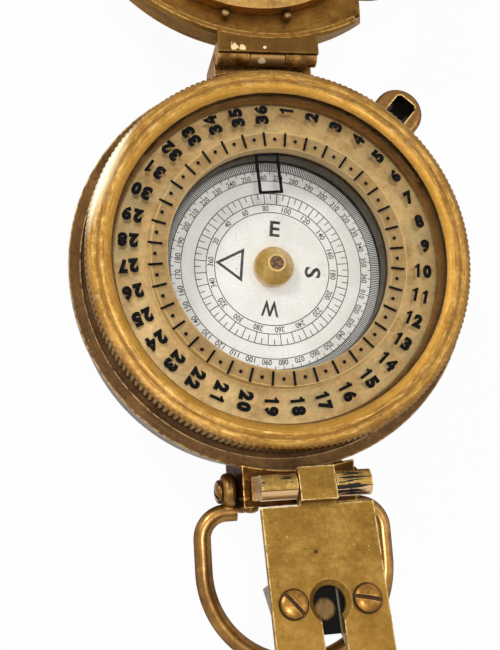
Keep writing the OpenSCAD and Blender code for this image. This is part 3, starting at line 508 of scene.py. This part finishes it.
caseLook = {
    "pale": tone(134, 96, 50), "body": tone(92, 63, 30), "deep": tone(64, 42, 18),
    "lathe": (0, 0, 0), "pitch": 3.0, "patch": 0.22, "cloud": 0.8, "marks": 0.4, "specks": 0.7, "nickGlintMuch": 1.0,
    "shine": 0.40, "metal": 0.82, "worn": tone(220, 182, 120), "wear": 1.0, "reach": 0.32,
    "dirt": 0.8, "grimeAndShade": tone(44, 28, 14), "round": 0.12,
    # painted shade: the case darkens towards its lower-left side
    "zones": (((-0.35, -0.94, 0), -4.0, 14.0, tone(62, 41, 18), 0.5),),
    # painted reflection: the outer wall is lightened as if it mirrored the pale floor
    "skirts": (((0, 0, 0), 30.9, 33.0, 8.0, 15.15, tone(140, 116, 88), 0.6),),
}
bezelLook = {
    "pale": tone(206, 166, 92), "body": tone(164, 121, 48), "deep": tone(116, 80, 28),
    "lathe": (0, 0, 0), "pitch": 8.0, "patch": 0.22, "cloud": 0.9, "marks": 0.85, "specks": 0.35, "nickGlintMuch": 0.9,
    "shine": 0.50, "metal": 0.9, "coat": 0.14, "coatShine": 0.3,
    "streaks": ((2.0, 5.0, 0.50, 0.66, tone(122, 82, 26), 0.75),
                (3.1, 9.0, 0.54, 0.68, tone(222, 184, 110), 0.6),
                (6.0, 12.0, 0.60, 0.70, tone(92, 60, 20), 0.6)),
    "bands": ((24.8, 26.0, tone(172, 124, 42), 0.6, 1.0), (26.6, 27.1, tone(112, 72, 20), 0.6, 1.2),
              (27.7, 29.2, tone(122, 84, 34), 0.6, 1.0)),
    "stains": ((0.55, 0.60, 0.68, tone(172, 164, 122), 0.45), (1.6, 0.62, 0.68, tone(196, 188, 150), 0.35)),
    "worn": tone(236, 200, 134), "wear": 0.9, "reach": 0.18, "corner": 0.7,
    "dirt": 0.9, "grimeAndShade": tone(58, 36, 14), "round": 0.12, "bump": 0.4,
    # painted highlight: the outer shoulder is pale white-gold on its upper-left side
    "zones": (((-0.91, 0.41, 0), 26.4, 28.4, tone(255, 244, 210), 0.8),),
    "paint": (((0, 0, 22), 60.0, 0.372, 1.3, tone(170, 160, 118), 0.1),),
}
dialLook = {
    "pale": tone(216, 184, 126), "body": tone(196, 162, 104), "deep": tone(166, 130, 76),
    "lathe": (0, 0, 0), "pitch": 4.0, "patch": 0.25, "cloud": 0.9, "marks": 0.15, "specks": 0.3, "nickGlintMuch": 0.25,
    "stains": ((0.16, 0.50, 0.64, tone(172, 160, 114), 0.45), (0.45, 0.58, 0.68, tone(206, 156, 84), 0.45),
               (1.3, 0.64, 0.70, tone(140, 110, 66), 0.4)),
    "bands": ((0, 16.88, tone(92, 85, 72), 1.0, 0.3), (16.84, 17.08, tone(216, 186, 130), 0.6, 0.5),
              # the last band is a painted highlight along the outer edge of the raised land
              (19.24, 19.5, tone(252, 222, 148), 0.85, 0.6)),
    "shine": 0.50, "metal": 0.35,
    "worn": tone(246, 212, 138), "wear": 1.0, "reach": 0.2, "corner": 1.2,
    "dirt": 0.45, "grimeAndShade": tone(112, 80, 42), "round": 0.08, "bump": 0.08,
}
wallLook = {
    "pale": tone(176, 132, 76), "body": tone(146, 106, 54), "deep": tone(100, 68, 30),
    "patch": 0.3, "specks": 0.4, "shine": 0.5, "metal": 0.75,
    "worn": tone(150, 108, 56), "wear": 0.5, "dirt": 0.45, "grimeAndShade": tone(48, 31, 14),
}
wellLook = dict(wallLook, pale=tone(116, 106, 90), body=tone(90, 83, 70), deep=tone(64, 59, 50))
housingLook = {
    "pale": tone(168, 152, 134), "body": tone(142, 126, 110), "deep": tone(112, 98, 84),
    "drawn": (3.0, 0.4, 0.4), "patch": 0.25, "cloud": 0.6, "marks": 0.3, "specks": 0.5,
    "shine": 0.42, "metal": 0.6, "worn": tone(196, 176, 140), "wear": 0.7,
    "dirt": 0.9, "grimeAndShade": tone(30, 22, 14),
}
bracketLook = {
    "pale": tone(104, 64, 20), "body": tone(60, 34, 9), "deep": tone(38, 22, 7), "rim": tone(150, 110, 70),
    "drawn": (0.5, 4.0, 4.0), "patch": 0.3, "cloud": 0.8, "marks": 0.4, "specks": 0.7, "nickGlintMuch": 0.8,
    "shine": 0.34, "metal": 0.9, "coat": 0.05, "worn": tone(220, 172, 94), "wear": 1.0, "reach": 0.25,
    "dirt": 0.9, "grimeAndShade": tone(34, 22, 10), "round": 0.18,
}
leafLook = {
    "pale": tone(214, 166, 92), "body": tone(168, 124, 66), "deep": tone(104, 72, 34),
    "drawn": (0.5, 4.0, 4.0), "patch": 0.35, "cloud": 1.0, "marks": 0.3, "specks": 0.8, "nickGlintMuch": 0.6,
    "shine": 0.36, "metal": 0.7, "coat": 0.1, "worn": tone(226, 180, 106), "wear": 0.9, "reach": 0.25,
    "dirt": 0.4, "grimeAndShade": tone(40, 25, 11), "round": 0.2, "rim": tone(180, 140, 96),
    "stains": ((0.5, 0.56, 0.62, tone(214, 164, 82), 0.7), (0.4, 0.55, 0.62, tone(84, 56, 26), 0.6)),
}
lidLook = {
    "pale": tone(160, 116, 52), "body": tone(122, 84, 34), "deep": tone(82, 53, 20),
    "lathe": (0, 65, 0), "pitch": 2.4, "patch": 0.18, "cloud": 0.8, "marks": 0.55, "specks": 0.6, "nickGlintMuch": 0.5,
    "shine": 0.36, "metal": 0.8, "worn": tone(206, 160, 92), "wear": 0.9, "reach": 0.3,
    "dirt": 0.65, "grimeAndShade": tone(44, 28, 13), "round": 0.25, "rim": tone(206, 186, 150),
    "skirts": (((0, 65, 0), 30.85, 31.2, 10.0, 22.0, tone(136, 100, 48), 0.9),
               ((0, 65, 0), 31.0, 40.0, 21.6, 24.0, tone(84, 58, 27), 0.6),
               ((0, 65, 0), 31.0, 40.0, 15.0, 21.45, tone(200, 156, 96), 0.75)),
    "stains": ((0.25, 0.52, 0.64, tone(168, 124, 62), 0.4), (0.18, 0.54, 0.66, tone(88, 58, 24), 0.5)),
    "paint": (((-5.4, 32.6, 22.1), 0.75, 0.72, 1.6, tone(236, 214, 158), 0.5),
              ((-4.1, 32.45, 22.1), 0.62, 0.72, 1.6, tone(236, 214, 158), 0.5),
              ((-0.7, 32.6, 22.1), 0.34, 0.75, 0.9, tone(240, 220, 168), 0.5),
              ((-0.9, 31.0, 20.6), 0.75, 0.70, 1.1, tone(228, 206, 158), 0.5),
              ((8.4, 34.7, 22.2), 0.55, 0.70, 1.4, tone(230, 206, 150), 0.5),
              ((10.4, 35.45, 22.2), 0.34, 0.72, 0.9, tone(236, 214, 164), 0.5),
              ((13.7, 39.5, 21.4), 0.9, 0.64, 1.4, tone(34, 26, 16), 0.3),
              ((13.9, 37.9, 21.4), 0.5, 0.68, 1.4, tone(34, 26, 16), 0.3)),
}
windowLook = dict(lidLook, pale=tone(222, 182, 112), body=tone(190, 146, 80), deep=tone(132, 92, 42),
    paint=(), skirts=())
plateLook = {
    "pale": tone(170, 134, 66), "body": tone(138, 103, 40), "deep": tone(108, 75, 22),
    "drawn": (0.35, 5.0, 5.0), "patch": 0.22, "cloud": 0.9, "marks": 0.35, "specks": 0.5, "nickGlintMuch": 0.7,
    "shine": 0.42, "metal": 0.85, "worn": tone(244, 212, 146), "wear": 1.0, "reach": 0.24,
    "dirt": 0.8, "grimeAndShade": tone(58, 36, 14), "round": 0.15,
    "stains": ((0.20, 0.52, 0.62, tone(122, 88, 30), 0.5), (0.35, 0.56, 0.66, tone(170, 138, 80), 0.25),
               (2.8, 0.66, 0.70, tone(226, 206, 150), 0.5)),
    "zones": (((0, -1, 0), 42.0, 52.0, tone(132, 94, 34), 0.4),),
    "dots": (((-1.1, -41.85, 31.38), 0.26, tone(60, 42, 26)),),
}
slideLook = dict(plateLook, pale=tone(236, 202, 134), body=tone(184, 144, 70), deep=tone(110, 76, 30),
    patch=0.32, shine=0.24, cloud=0.8, torn=(0.24, 3.0, 3.0), chalky=0.25,
    zones=(((0, -1, 0), 33.86, 33.9, tone(44, 30, 14), 0.85),
           ((0, -1, 0), 33.98, 34.02, tone(226, 184, 134), 0.9)),
    paint=(((4.6, -33.6, 31.0), 3.6, 0.60, 0.8, tone(32, 27, 19), 0.5),
           ((-7.3, -32.9, 31.0), 0.7, 0.58, 1.2, tone(30, 25, 16), 0.5),
           ((-4.0, -31.9, 30.6), 1.9, 0.56, 0.8, tone(30, 25, 16), 0.5)))
ringLook = {
    "pale": tone(192, 148, 86), "body": tone(142, 102, 50), "deep": tone(80, 52, 20), "rim": tone(120, 84, 46),
    "drawn": (1.2, 0.12, 1.2), "patch": 0.12, "cloud": 0.7, "marks": 0.5, "specks": 0.25, "nickGlintMuch": 0.4,
    "shine": 0.33, "metal": 0.95, "coat": 0.25, "worn": tone(226, 192, 134), "wear": 0.4, "dirt": 0.9,
    "grimeAndShade": tone(38, 24, 10),
}
lugLook = {
    "pale": tone(166, 122, 68), "body": tone(126, 86, 40), "deep": tone(88, 56, 24),
    "drawn": (0.5, 0.5, 2.0), "patch": 0.25, "cloud": 0.7, "marks": 0.3, "specks": 0.3, "nickGlintMuch": 0.3,
    "shine": 0.30, "metal": 0.9, "coat": 0.3, "worn": tone(250, 212, 130), "wear": 1.0, "reach": 0.35,
    "dirt": 0.9, "grimeAndShade": tone(30, 18, 8), "corner": 1.5, "rim": tone(150, 110, 70),
    # the eye's inside is painted near black as shade
    "shadedPits": (((22.03, 24.9, 0), 3.1, 17.25, tone(4, 2, 1)),),
}
screwLook = {
    "pale": tone(164, 122, 54), "body": tone(116, 80, 26), "deep": tone(78, 50, 16),
    "drawn": (0.8, 3.0, 3.0), "patch": 0.4, "cloud": 0.7, "marks": 0.3, "specks": 0.3, "nickGlintMuch": 0.3,
    "shine": 0.32, "metal": 0.92, "coat": 0.15, "worn": tone(220, 174, 112), "wear": 0.5, "reach": 0.15,
    "dirt": 0.95, "grimeAndShade": tone(50, 30, 12), "corner": 0.6, "round": 0.1,
}
headLook = dict(screwLook, pale=tone(186, 138, 66), body=tone(134, 92, 34),
    # painted shade at the bottom of the screw slots
    zones=(((0, -0.213, -0.977), -22.34, -22.2, tone(58, 37, 16), 0.9),))
studLook = dict(screwLook, body=tone(128, 92, 50), pale=tone(206, 170, 114), coat=0.6)
cupLook = {
    "pale": tone(250, 222, 144), "body": tone(214, 170, 84), "deep": tone(150, 110, 44),
    "lathe": (0, 0, 0), "pitch": 9.0, "patch": 0.35, "cloud": 0.6, "marks": 0.6, "specks": 0.3, "nickGlintMuch": 0.4,
    "shine": 0.24, "metal": 0.35, "coat": 0.6, "coatShine": 0.14, "worn": tone(250, 222, 150), "wear": 0.6,
    "reach": 0.2, "dirt": 0.3, "grimeAndShade": tone(80, 52, 22), "corner": 0.3, "bump": 0.12,
}
steelLook = {
    "pale": tone(180, 180, 178), "body": tone(140, 140, 140), "deep": tone(90, 88, 86),
    "patch": 0.5, "specks": 0.4, "shine": 0.3, "metal": 1.0, "wear": 0.4, "dirt": 0.5,
}
clearLook = {
    "tintOf": (1, 1, 1, 1), "body": 0.02, "dust": 0.10, "shade": 0.004, "shine": 0.02, "mirror": 0.15,
}
lensLook = {
    # the eye lens is tinted near black as painted shade of the housing's inside
    "tintOf": (0.05, 0.042, 0.03, 1), "body": 0.6, "dust": 0.02, "shade": 0.25, "shine": 0.03, "mirror": 0.2,
}
prismLook = {
    # the prism is painted near black as shade inside the housing, and its disc is a painted reflection of brass
    "dark": tone(13, 11, 9), "mirror": 0.08, "shine": 0.08,
    "wispStretch": (0.9, 0.4, 0.4), "wispAt": (0.36, 0.62), "wispRough": 0.1,
    "reflectionDark": tone(70, 51, 28), "reflectionPale": tone(140, 110, 66),
    "reflectedDisc": (-0.62, -48.85, 31.65), "reflectedDiscReach": 1.5, "reflectedDiscEdge": 0.5, "reflectedDiscMuch": 0.85,
    "stripTone": tone(112, 110, 92), "strip": (1.1, 1.34), "stripEdges": (0.08, 0.1), "stripMuch": 0.8,
}
worn = (    # each finish, how it is made, and the pieces that wear it
    ("caseBrass", metalFinish, caseLook, "case_body"),
    ("dialBrass", metalFinish, dialLook, "dial_ring"),
    ("wallBrass", metalFinish, wallLook, "bezel_glass_ring"),
    ("wellBrass", metalFinish, wellLook, "inner_glass_ring"),
    ("housingBrass", metalFinish, housingLook, "prism_housing"),
    ("bracketBrass", metalFinish, bracketLook, "prism_bracket", "bracket_cover"),
    ("leafBrass", metalFinish, leafLook, "lid_hinge_bracket", "lid_hinge_pin"),
    ("lidBrass", metalFinish, lidLook, "lid_shell"),
    ("windowBrass", metalFinish, windowLook, "lid_glass_ring"),
    ("plateBrass", metalFinish, plateLook, "prism_plate", "eye_lens_ring", "pivot_post", "prism_hinge_pin"),
    ("slideBrass", metalFinish, slideLook, "prism_slide"),
    ("ringBrass", metalFinish, ringLook, "thumb_ring"),
    ("lugBrass", metalFinish, lugLook, "lanyard_lug"),
    ("screwBrass", metalFinish, screwLook, "cover_screws", "ring_screws"),
    ("headBrass", metalFinish, headLook, "prism_screws"),
    ("studBrass", metalFinish, studLook, "lid_studs"),
    ("cupBrass", metalFinish, cupLook, "card_cup"),
    ("needleSteel", metalFinish, steelLook, "pivot_needle", "bezel_wire", "bar_magnet"),
    ("clearGlass", glassFinish, clearLook, "bezel_glass", "inner_glass", "lid_glass"),
    ("prismGlass", prismFinish, prismLook, "sight_prism"),
    ("lensGlass", glassFinish, lensLook, "eye_lens"),
)
for name, maker, look, *pieces in worn:
    dress(maker(name, look), *pieces)
bezelBrass = metalFinish("bezelBrass", bezelLook)
print("metal and glass finishes ready")


paperLook = {
    "tones": 0.12, "tonesAt": (0.35, 0.65), "dull": tone(232, 229, 220), "white": tone(244, 243, 238),
    "fibre": 3.0, "fibreAt": (0.5, 0.8), "fibreTone": tone(220, 214, 198),
    "runStretch": (1.4, 0.16, 1.0), "runsAt": (0.66, 0.72), "runsMuch": 0.45, "rust": tone(214, 170, 96),
    "spots": 1.3, "spotsAt": (0.70, 0.73), "spotsMuch": 0.7, "spotTone": tone(196, 160, 110),
    "rough": 0.45, "roughSwing": 0.2, "bump": 0.1, "bumpDepth": 0.03,
}


def cardFinish(name, look):
    # coated paper gone slightly warm, with faint rust runs
    m, t, skin, place = startFinish(name)
    tones = clouds(t, place, look["tones"], 4.0, 0.6)
    fibre = clouds(t, place, look["fibre"], 4.0, 0.6)
    runs = clouds(t, vec(t, "MULTIPLY", place, look["runStretch"]), 1.0, 6.0, 0.7)
    spots = clouds(t, place, look["spots"], 3.0, 0.6)
    c = tint(t, between(t, tones, *look["tonesAt"]), look["dull"], look["white"])
    c = tint(t, between(t, fibre, *look["fibreAt"]), c, look["fibreTone"])
    c = tint(t, times(t, between(t, runs, *look["runsAt"]), look["runsMuch"]), c, look["rust"])
    c = tint(t, times(t, between(t, spots, *look["spotsAt"]), look["spotsMuch"]), c, look["spotTone"])
    feed(t, skin.inputs["Base Color"], c)
    feed(t, skin.inputs["Roughness"], calc(t, "MULTIPLY_ADD", fibre, look["roughSwing"], look["rough"]))
    bump = pick(t, "Bump")
    bump.inputs["Strength"].default_value = look["bump"]
    bump.inputs["Distance"].default_value = look["bumpDepth"] * mm
    feed(t, bump.inputs["Height"], fibre)
    feed(t, skin.inputs["Normal"], bump.outputs[0])
    return m


inkLook = {
    "uneven": 1.5, "unevenAt": (0.4, 0.7), "thinner": 1.5, "mirror": 0.05,
    "losses": 1.1, "lossEdge": 0.02, "roughSwing": 0.2,
}


def inkFinish(name, ink, gaps, sheen):
    # printed ink, a little thin, with small losses
    look = inkLook
    m, t, skin, place = startFinish(name)
    uneven = clouds(t, place, look["uneven"], 4.0, 0.6)
    thin = tuple(look["thinner"] * v for v in ink[:3]) + (1,)
    feed(t, skin.inputs["Base Color"], tint(t, between(t, uneven, *look["unevenAt"]), ink, thin))
    skin.inputs["Specular IOR Level"].default_value = look["mirror"]
    lost = between(t, clouds(t, place, look["losses"], 6.0, 0.7), gaps, gaps + look["lossEdge"])
    feed(t, skin.inputs["Alpha"], lacking(t, lost))
    feed(t, skin.inputs["Roughness"], calc(t, "MULTIPLY_ADD", uneven, look["roughSwing"], sheen))
    return m


jewelLook = {
    "veins": 2.0, "veinsAt": (0.4, 0.65), "dark": tone(70, 40, 22), "pale": tone(146, 104, 60),
    "shine": 0.1, "roughSwing": 0.2,
}


def jewelFinish(name, look):
    m, t, skin, place = startFinish(name)
    veins = clouds(t, place, look["veins"], 4.0, 0.6)
    feed(t, skin.inputs["Base Color"], tint(t, between(t, veins, *look["veinsAt"]), look["dark"], look["pale"]))
    feed(t, skin.inputs["Roughness"], calc(t, "MULTIPLY_ADD", veins, look["roughSwing"], look["shine"]))
    return m


dress(cardFinish("cardPaper", paperLook), "compass_card")
dress(jewelFinish("jewelBrown", jewelLook), "cup_jewel")
glassInk = inkFinish("glassInk", tone(9, 9, 10), 0.74, 0.5)
cardInk = inkFinish("cardInk", tone(22, 21, 20), 0.76, 0.6)
print("card, ink and jewel finishes ready")


# print on the glass and art on the card
def freshStart():
    if bpy.context.object and bpy.context.object.mode != "OBJECT":
        bpy.ops.object.mode_set(mode="OBJECT")
    bpy.ops.object.select_all(action="DESELECT")


def oneOf(parts, name):
    # joins parts into one piece at the origin
    freshStart()
    for part in parts:
        part.select_set(True)
    bpy.context.view_layer.objects.active = parts[0]
    if len(parts) > 1:
        bpy.ops.object.join()
    bpy.ops.object.transform_apply(location=True, rotation=True, scale=True)
    made = bpy.context.object
    made.name = made.data.name = name
    return made


def bar(length, width, thick, corner):
    # a thin bar along Y round the origin, its upright corners eased
    freshStart()
    bpy.ops.mesh.primitive_cube_add(size=1, location=(0, 0, 0))
    bpy.ops.object.mode_set(mode="EDIT")
    bpy.ops.transform.resize(value=(width * mm, length * mm, thick * mm))
    bpy.ops.object.mode_set(mode="OBJECT")
    made = bpy.context.object
    for edge in made.data.edges:
        a, b = (made.data.vertices[v].co for v in edge.vertices)
        edge.select = abs(a.z - b.z) > thick * mm / 2
    if corner:
        bpy.ops.object.mode_set(mode="EDIT")
        bpy.ops.mesh.select_mode(type="EDGE")
        bpy.ops.mesh.bevel(offset=corner * mm, segments=2, affect="EDGES")
        bpy.ops.object.mode_set(mode="OBJECT")
    return made


def aroundDial(part, count, step, centre):
    # copies of a part round the dial's axis
    freshStart()
    part.select_set(True)
    bpy.context.view_layer.objects.active = part
    bpy.ops.object.transform_apply(location=True, rotation=True, scale=True)
    bpy.ops.object.mode_set(mode="EDIT")
    bpy.ops.mesh.select_all(action="SELECT")
    bpy.ops.mesh.spin(steps=count - 1, dupli=True, angle=math.radians(step * (count - 1)), center=centre,
                      axis=(0, 0, 1))
    bpy.ops.object.mode_set(mode="OBJECT")
    return part


def thicken(made, thick):
    # gives a flat outline its thickness, half of it to each side
    wall = made.modifiers.new("thick", "SOLIDIFY")
    wall.thickness = thick * mm
    wall.offset = 0
    bpy.ops.object.modifier_apply(modifier="thick")
    bpy.ops.object.mode_set(mode="EDIT")
    bpy.ops.mesh.select_all(action="SELECT")
    bpy.ops.mesh.normals_make_consistent(inside=False)
    bpy.ops.object.mode_set(mode="OBJECT")


def flatRing(inner, outer, level, thick, sides):
    freshStart()
    bpy.ops.mesh.primitive_circle_add(vertices=sides, radius=inner * mm, location=(0, 0, 0))
    made = bpy.context.object
    bpy.ops.object.mode_set(mode="EDIT")
    bpy.ops.mesh.select_all(action="SELECT")
    bpy.ops.mesh.extrude_region_move()
    bpy.ops.transform.resize(value=(outer / inner, outer / inner, 1))
    bpy.ops.object.mode_set(mode="OBJECT")
    thicken(made, thick)
    made.location = (0, 0, level * mm)
    return made


lettering = {"extrude": 0.01, "curves": 3}      # any depth does, as it is scaled afterwards


def letters(text, tall, wide, bold, centre, turn, thick):
    # flat letters of a given height, wide is the width of the whole text
    freshStart()
    bpy.ops.object.text_add(location=(0, 0, 0))
    made = bpy.context.object
    made.data.body = text
    made.data.align_x = "CENTER"
    made.data.extrude = lettering["extrude"]
    made.data.offset = bold
    made.data.resolution_u = lettering["curves"]
    bpy.ops.object.convert(target="MESH")
    made = bpy.context.object
    bpy.ops.object.origin_set(type="ORIGIN_GEOMETRY", center="BOUNDS")
    size = made.dimensions
    made.scale = (wide * mm / size.x, tall * mm / size.y, thick * mm / size.z)
    made.location = centre
    made.rotation_euler = (0, 0, turn)
    return made


oneLook = {
    "stemAt": 0.16, "flagAt": -0.07, "flagUp": 0.31, "flagLong": 0.36, "flagWide": 0.85, "flagThick": 0.9,
    "flagTurn": 55,
}


def digitOne(tall, stroke, thick):
    # a one with its flag and no foot
    look = oneLook
    stem = bar(tall, stroke, thick, 0)
    stem.location = (look["stemAt"] * mm, 0, 0)
    flag = bar(tall * look["flagLong"], stroke * look["flagWide"], thick * look["flagThick"], 0)
    flag.location = (look["flagAt"] * mm, tall * look["flagUp"] * mm, 0)
    flag.rotation_euler = (0, 0, -math.radians(look["flagTurn"]))
    return oneOf([stem, flag], "one")


def numberOf(text, look, centre, turn):
    # the digits of a number side by side
    step = look["digitStep"] * mm
    made = []
    for n, sign in enumerate(text):
        along = (n - (len(text) - 1) / 2) * step
        spot = (centre[0] + along * math.cos(turn), centre[1] + along * math.sin(turn), centre[2])
        if sign == "1":
            one = digitOne(look["digitTall"], look["digitStroke"], look["thick"])
            one.location, one.rotation_euler = spot, (0, 0, turn)
            made.append(one)
        else:
            upside = sign == "9"      # a six turned over
            made.append(letters("6" if upside else sign, look["digitTall"], look["digitWide"], look["bold"],
                                spot, turn + math.pi * upside, look["thick"]))
    return made


bezelShape = {
    "teeth": 198, "across": 3,     # columns of points to a tooth, one of them its notch
    "merge": 0.001, "near": 0.01,    # mm, how close points count as one, and as a point of the profile
    "smooth": 32,     # degrees, a sharper edge stays sharp
    "profile": (   # radius, height, depth of the notch there
        (25.78, 15.3, 0), (26.65, 15.3, 0), (26.65, 16.25, 0), (26.03, 16.25, 0), (26.03, 17.65, 0),
        (26.65, 17.65, 0), (26.65, 18.9, 0), (28.05, 18.9, 0), (28.3, 19.08, 0), (28.68, 19.16, 0.38),
        (28.7, 22.2, 0.38), (28.67, 22.48, 0.34), (28.58, 22.74, 0.2), (28.36, 22.94, 0.02), (27.98, 23.06, 0),
        (27.48, 23.1, 0), (27.08, 23.08, 0), (26.9, 23.01, 0), (26.72, 23.01, 0), (26.5, 23.08, 0),
        (26.2, 23.1, 0), (25.92, 23.05, 0), (25.5, 22.86, 0), (25.16, 22.64, 0), (25.0, 22.48, 0),
        (24.97, 22.33, 0), (25.78, 22.33, 0)),
}


def millBezel():
    # the profile is spun round the dial's axis, then every third column is cut in as a notch
    look = bezelShape
    freshStart()
    bpy.ops.mesh.primitive_circle_add(vertices=len(look["profile"]), radius=mm, location=(0, 0, 0))
    made = bpy.context.object
    for point, (r, z, cut) in zip(made.data.vertices, look["profile"]):
        point.co = (r * mm, 0, z * mm)
    columns = look["teeth"] * look["across"]
    bpy.ops.object.mode_set(mode="EDIT")
    bpy.ops.mesh.select_all(action="SELECT")
    bpy.ops.mesh.spin(steps=columns, angle=math.tau, center=(0, 0, 0), axis=(0, 0, 1))
    bpy.ops.mesh.select_all(action="SELECT")
    bpy.ops.mesh.remove_doubles(threshold=look["merge"] * mm)
    bpy.ops.mesh.normals_make_consistent(inside=False)
    bpy.ops.object.mode_set(mode="OBJECT")
    for point in made.data.vertices:
        x, y, z = point.co
        column = round(math.atan2(y, x) / math.tau * columns)
        if column % look["across"] == 0:
            r = math.hypot(x, y) / mm
            cut = next((c for a, b, c in look["profile"]
                        if abs(a - r) < look["near"] and abs(b - z / mm) < look["near"]), 0)
            point.co = (x * (1 - cut / r), y * (1 - cut / r), z)
    bpy.ops.object.shade_smooth_by_angle(angle=math.radians(look["smooth"]))
    made = oneOf([made], "bezelMilled")
    coat(made, bezelBrass)
    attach(made, "bezel")
    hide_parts("bezel_ring")


printLook = {
    "centre": (-0.5, 0), "north": -3.0, "level": 20.785, "thick": 0.02, "ticks": 36, "step": 10,
    "tickIn": 17.2, "tickOut": 19.35, "tickWide": 0.34, "tickCorner": 0.06,
    "dotAt": 18.25, "dotSize": 0.27, "dotSides": 20,
    "oneDigit": 22.9, "twoDigits": 22.16,    # how far out the numbers stand
    "digitTall": 2.14, "digitWide": 1.40, "digitStep": 1.58, "digitStroke": 0.46, "bold": 0.082,
    "boxWide": 3.25, "boxLow": 9.85, "boxHigh": 15.78, "boxLine": 0.46, "boxCorner": 0.05, "boxThin": 0.9,
}


def printGlass():
    look = printLook
    cx, cy = (v * mm for v in look["centre"])
    z = look["level"] * mm
    mid = (cx, cy, z)
    step = look["step"]
    north = math.radians(look["north"])   # clockwise from the case's north

    def at(radius, clockwise):
        a = north + math.radians(clockwise)
        return (cx + radius * mm * math.sin(a), cy + radius * mm * math.cos(a), z)

    tick = bar(look["tickOut"] - look["tickIn"], look["tickWide"], look["thick"], look["tickCorner"])
    tick.location = at((look["tickIn"] + look["tickOut"]) / 2, 0)
    tick.rotation_euler = (0, 0, -north)
    aroundDial(tick, look["ticks"], step, mid)

    freshStart()
    bpy.ops.mesh.primitive_cylinder_add(vertices=look["dotSides"], radius=look["dotSize"] * mm,
                                        depth=look["thick"] * mm, location=at(look["dotAt"], step / 2))
    dot = bpy.context.object
    aroundDial(dot, look["ticks"], step, mid)

    figures = []
    for k in range(1, look["ticks"] + 1):
        spot = at(look["twoDigits"] if k > 9 else look["oneDigit"], step * k)
        turn = math.pi / 2 - north - math.radians(step * k)
        figures += numberOf(str(k), look, spot, turn)

    rails = []
    half = look["boxWide"] / 2
    long = look["boxHigh"] - look["boxLow"] + look["boxLine"]
    for side in (-1, 1):
        rail = bar(long, look["boxLine"], look["thick"], look["boxCorner"])
        a = at((look["boxHigh"] + look["boxLow"]) / 2, 0)
        aside = side * half * mm
        rail.location = (a[0] + aside * math.cos(north), a[1] - aside * math.sin(north), z)
        rail.rotation_euler = (0, 0, -north)
        rails.append(rail)
    for height in (look["boxLow"], look["boxHigh"]):
        rail = bar(look["boxWide"], look["boxLine"], look["thick"] * look["boxThin"], 0)
        rail.location = at(height, 0)
        rail.rotation_euler = (0, 0, math.pi / 2 - north)
        rails.append(rail)
    for made in (oneOf([tick, dot], "glassScale"), oneOf(figures, "glassFigures"),
                 oneOf(rails, "glassLubberBox")):
        coat(made, glassInk)
        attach(made, "bezel")


cardLook = {
    "zero": -82.6, "level": 13.605, "thick": 0.022,
    "scales": (    # inner and outer radius, width, how many, degrees between them, where the first stands
        (15.92, 17.32, 0.15, 360, 1, 0), (15.38, 15.92, 0.11, 72, 5, 0),
        (10.39, 12.15, 0.12, 36, 10, 0), (11.20, 12.15, 0.12, 36, 10, 5)),
    "figureAt": 14.78, "figureTall": 0.86, "figureWide": 1.50, "figureBold": 0.014,
    "circles": (17.33, 15.88, 14.24, 12.15, 10.39, 9.05), "circleLine": 0.13, "circleSides": 180,
    "innerAt": 9.70, "innerTall": 0.90, "innerWide": 1.5, "innerNarrow": 0.98, "innerBold": 0.012,
    "letterAt": 6.4, "letterTall": 2.55, "letterBold": 0.022,
    "letters": (("E", 90, 1.62), ("S", 180, 1.75), ("W", 270, 2.75)),    # where on the card, and how wide
    "apex": 8.98, "base": 4.62, "baseHalf": 2.70, "stroke": 0.42,
}


def drawCard():
    look = cardLook
    z = look["level"] * mm
    zero = math.radians(look["zero"])

    def at(radius, degrees):
        a = zero + math.radians(degrees)
        return (radius * mm * math.sin(a), radius * mm * math.cos(a), z)

    def scale(inner, outer, wide, count, step, start):
        made = bar(outer - inner, wide, look["thick"], 0)
        made.location = at((inner + outer) / 2, start)
        made.rotation_euler = (0, 0, -zero - math.radians(start))
        return aroundDial(made, count, step, (0, 0, z))

    scales = [scale(*row) for row in look["scales"]]
    half = look["circleLine"] / 2
    rings = [flatRing(r - half, r + half, look["level"], look["thick"], look["circleSides"])
             for r in look["circles"]]
    figures = []
    for k in range(36):      # the outer numbers run half a turn ahead of the inner ones
        text = "%03d" % ((10 * k + 180 - 1) % 360 + 1)
        figures.append(letters(text, look["figureTall"], look["figureWide"], look["figureBold"],
                               at(look["figureAt"], 10 * k), -zero - math.radians(10 * k), look["thick"]))
    for k in range(18):
        value = 20 * k or 360
        wide = look["innerWide"] if value > 99 else look["innerNarrow"]
        figures.append(letters(str(value), look["innerTall"], wide, look["innerBold"],
                               at(look["innerAt"], 20 * k), -zero - math.radians(20 * k), look["thick"]))
    marks = []
    for text, degrees, wide in look["letters"]:
        marks.append(letters(text, look["letterTall"], wide, look["letterBold"],
                             at(look["letterAt"], degrees), -zero - math.radians(degrees), look["thick"]))

    # outlined arrowhead at north: a ring of three sides
    freshStart()
    bpy.ops.mesh.primitive_circle_add(vertices=3, radius=mm, location=(0, 0, 0))
    arrow = bpy.context.object
    outline = ((0, look["apex"]), (look["baseHalf"], look["base"]), (-look["baseHalf"], look["base"]))
    for v, (x, y) in zip(sorted(arrow.data.vertices, key=lambda v: -v.co.y), outline):
        v.co = (x * mm, y * mm, 0)
    bpy.ops.object.mode_set(mode="EDIT")
    bpy.ops.mesh.select_all(action="SELECT")
    bpy.ops.mesh.edge_face_add()
    bpy.ops.mesh.inset(thickness=look["stroke"] * mm)
    bpy.ops.mesh.delete(type="FACE")
    bpy.ops.object.mode_set(mode="OBJECT")
    thicken(arrow, look["thick"])
    arrow.location = (0, 0, z)
    arrow.rotation_euler = (0, 0, -zero)
    marks.append(arrow)
    for made in (oneOf(scales, "cardScales"), oneOf(rings, "cardCircles"),
                 oneOf(figures, "cardFigures"), oneOf(marks, "cardLetters")):
        coat(made, cardInk)
        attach(made, "card")


millBezel()
print("bezel milled")
printGlass()
print("glass printed")
drawCard()
print("card drawn")
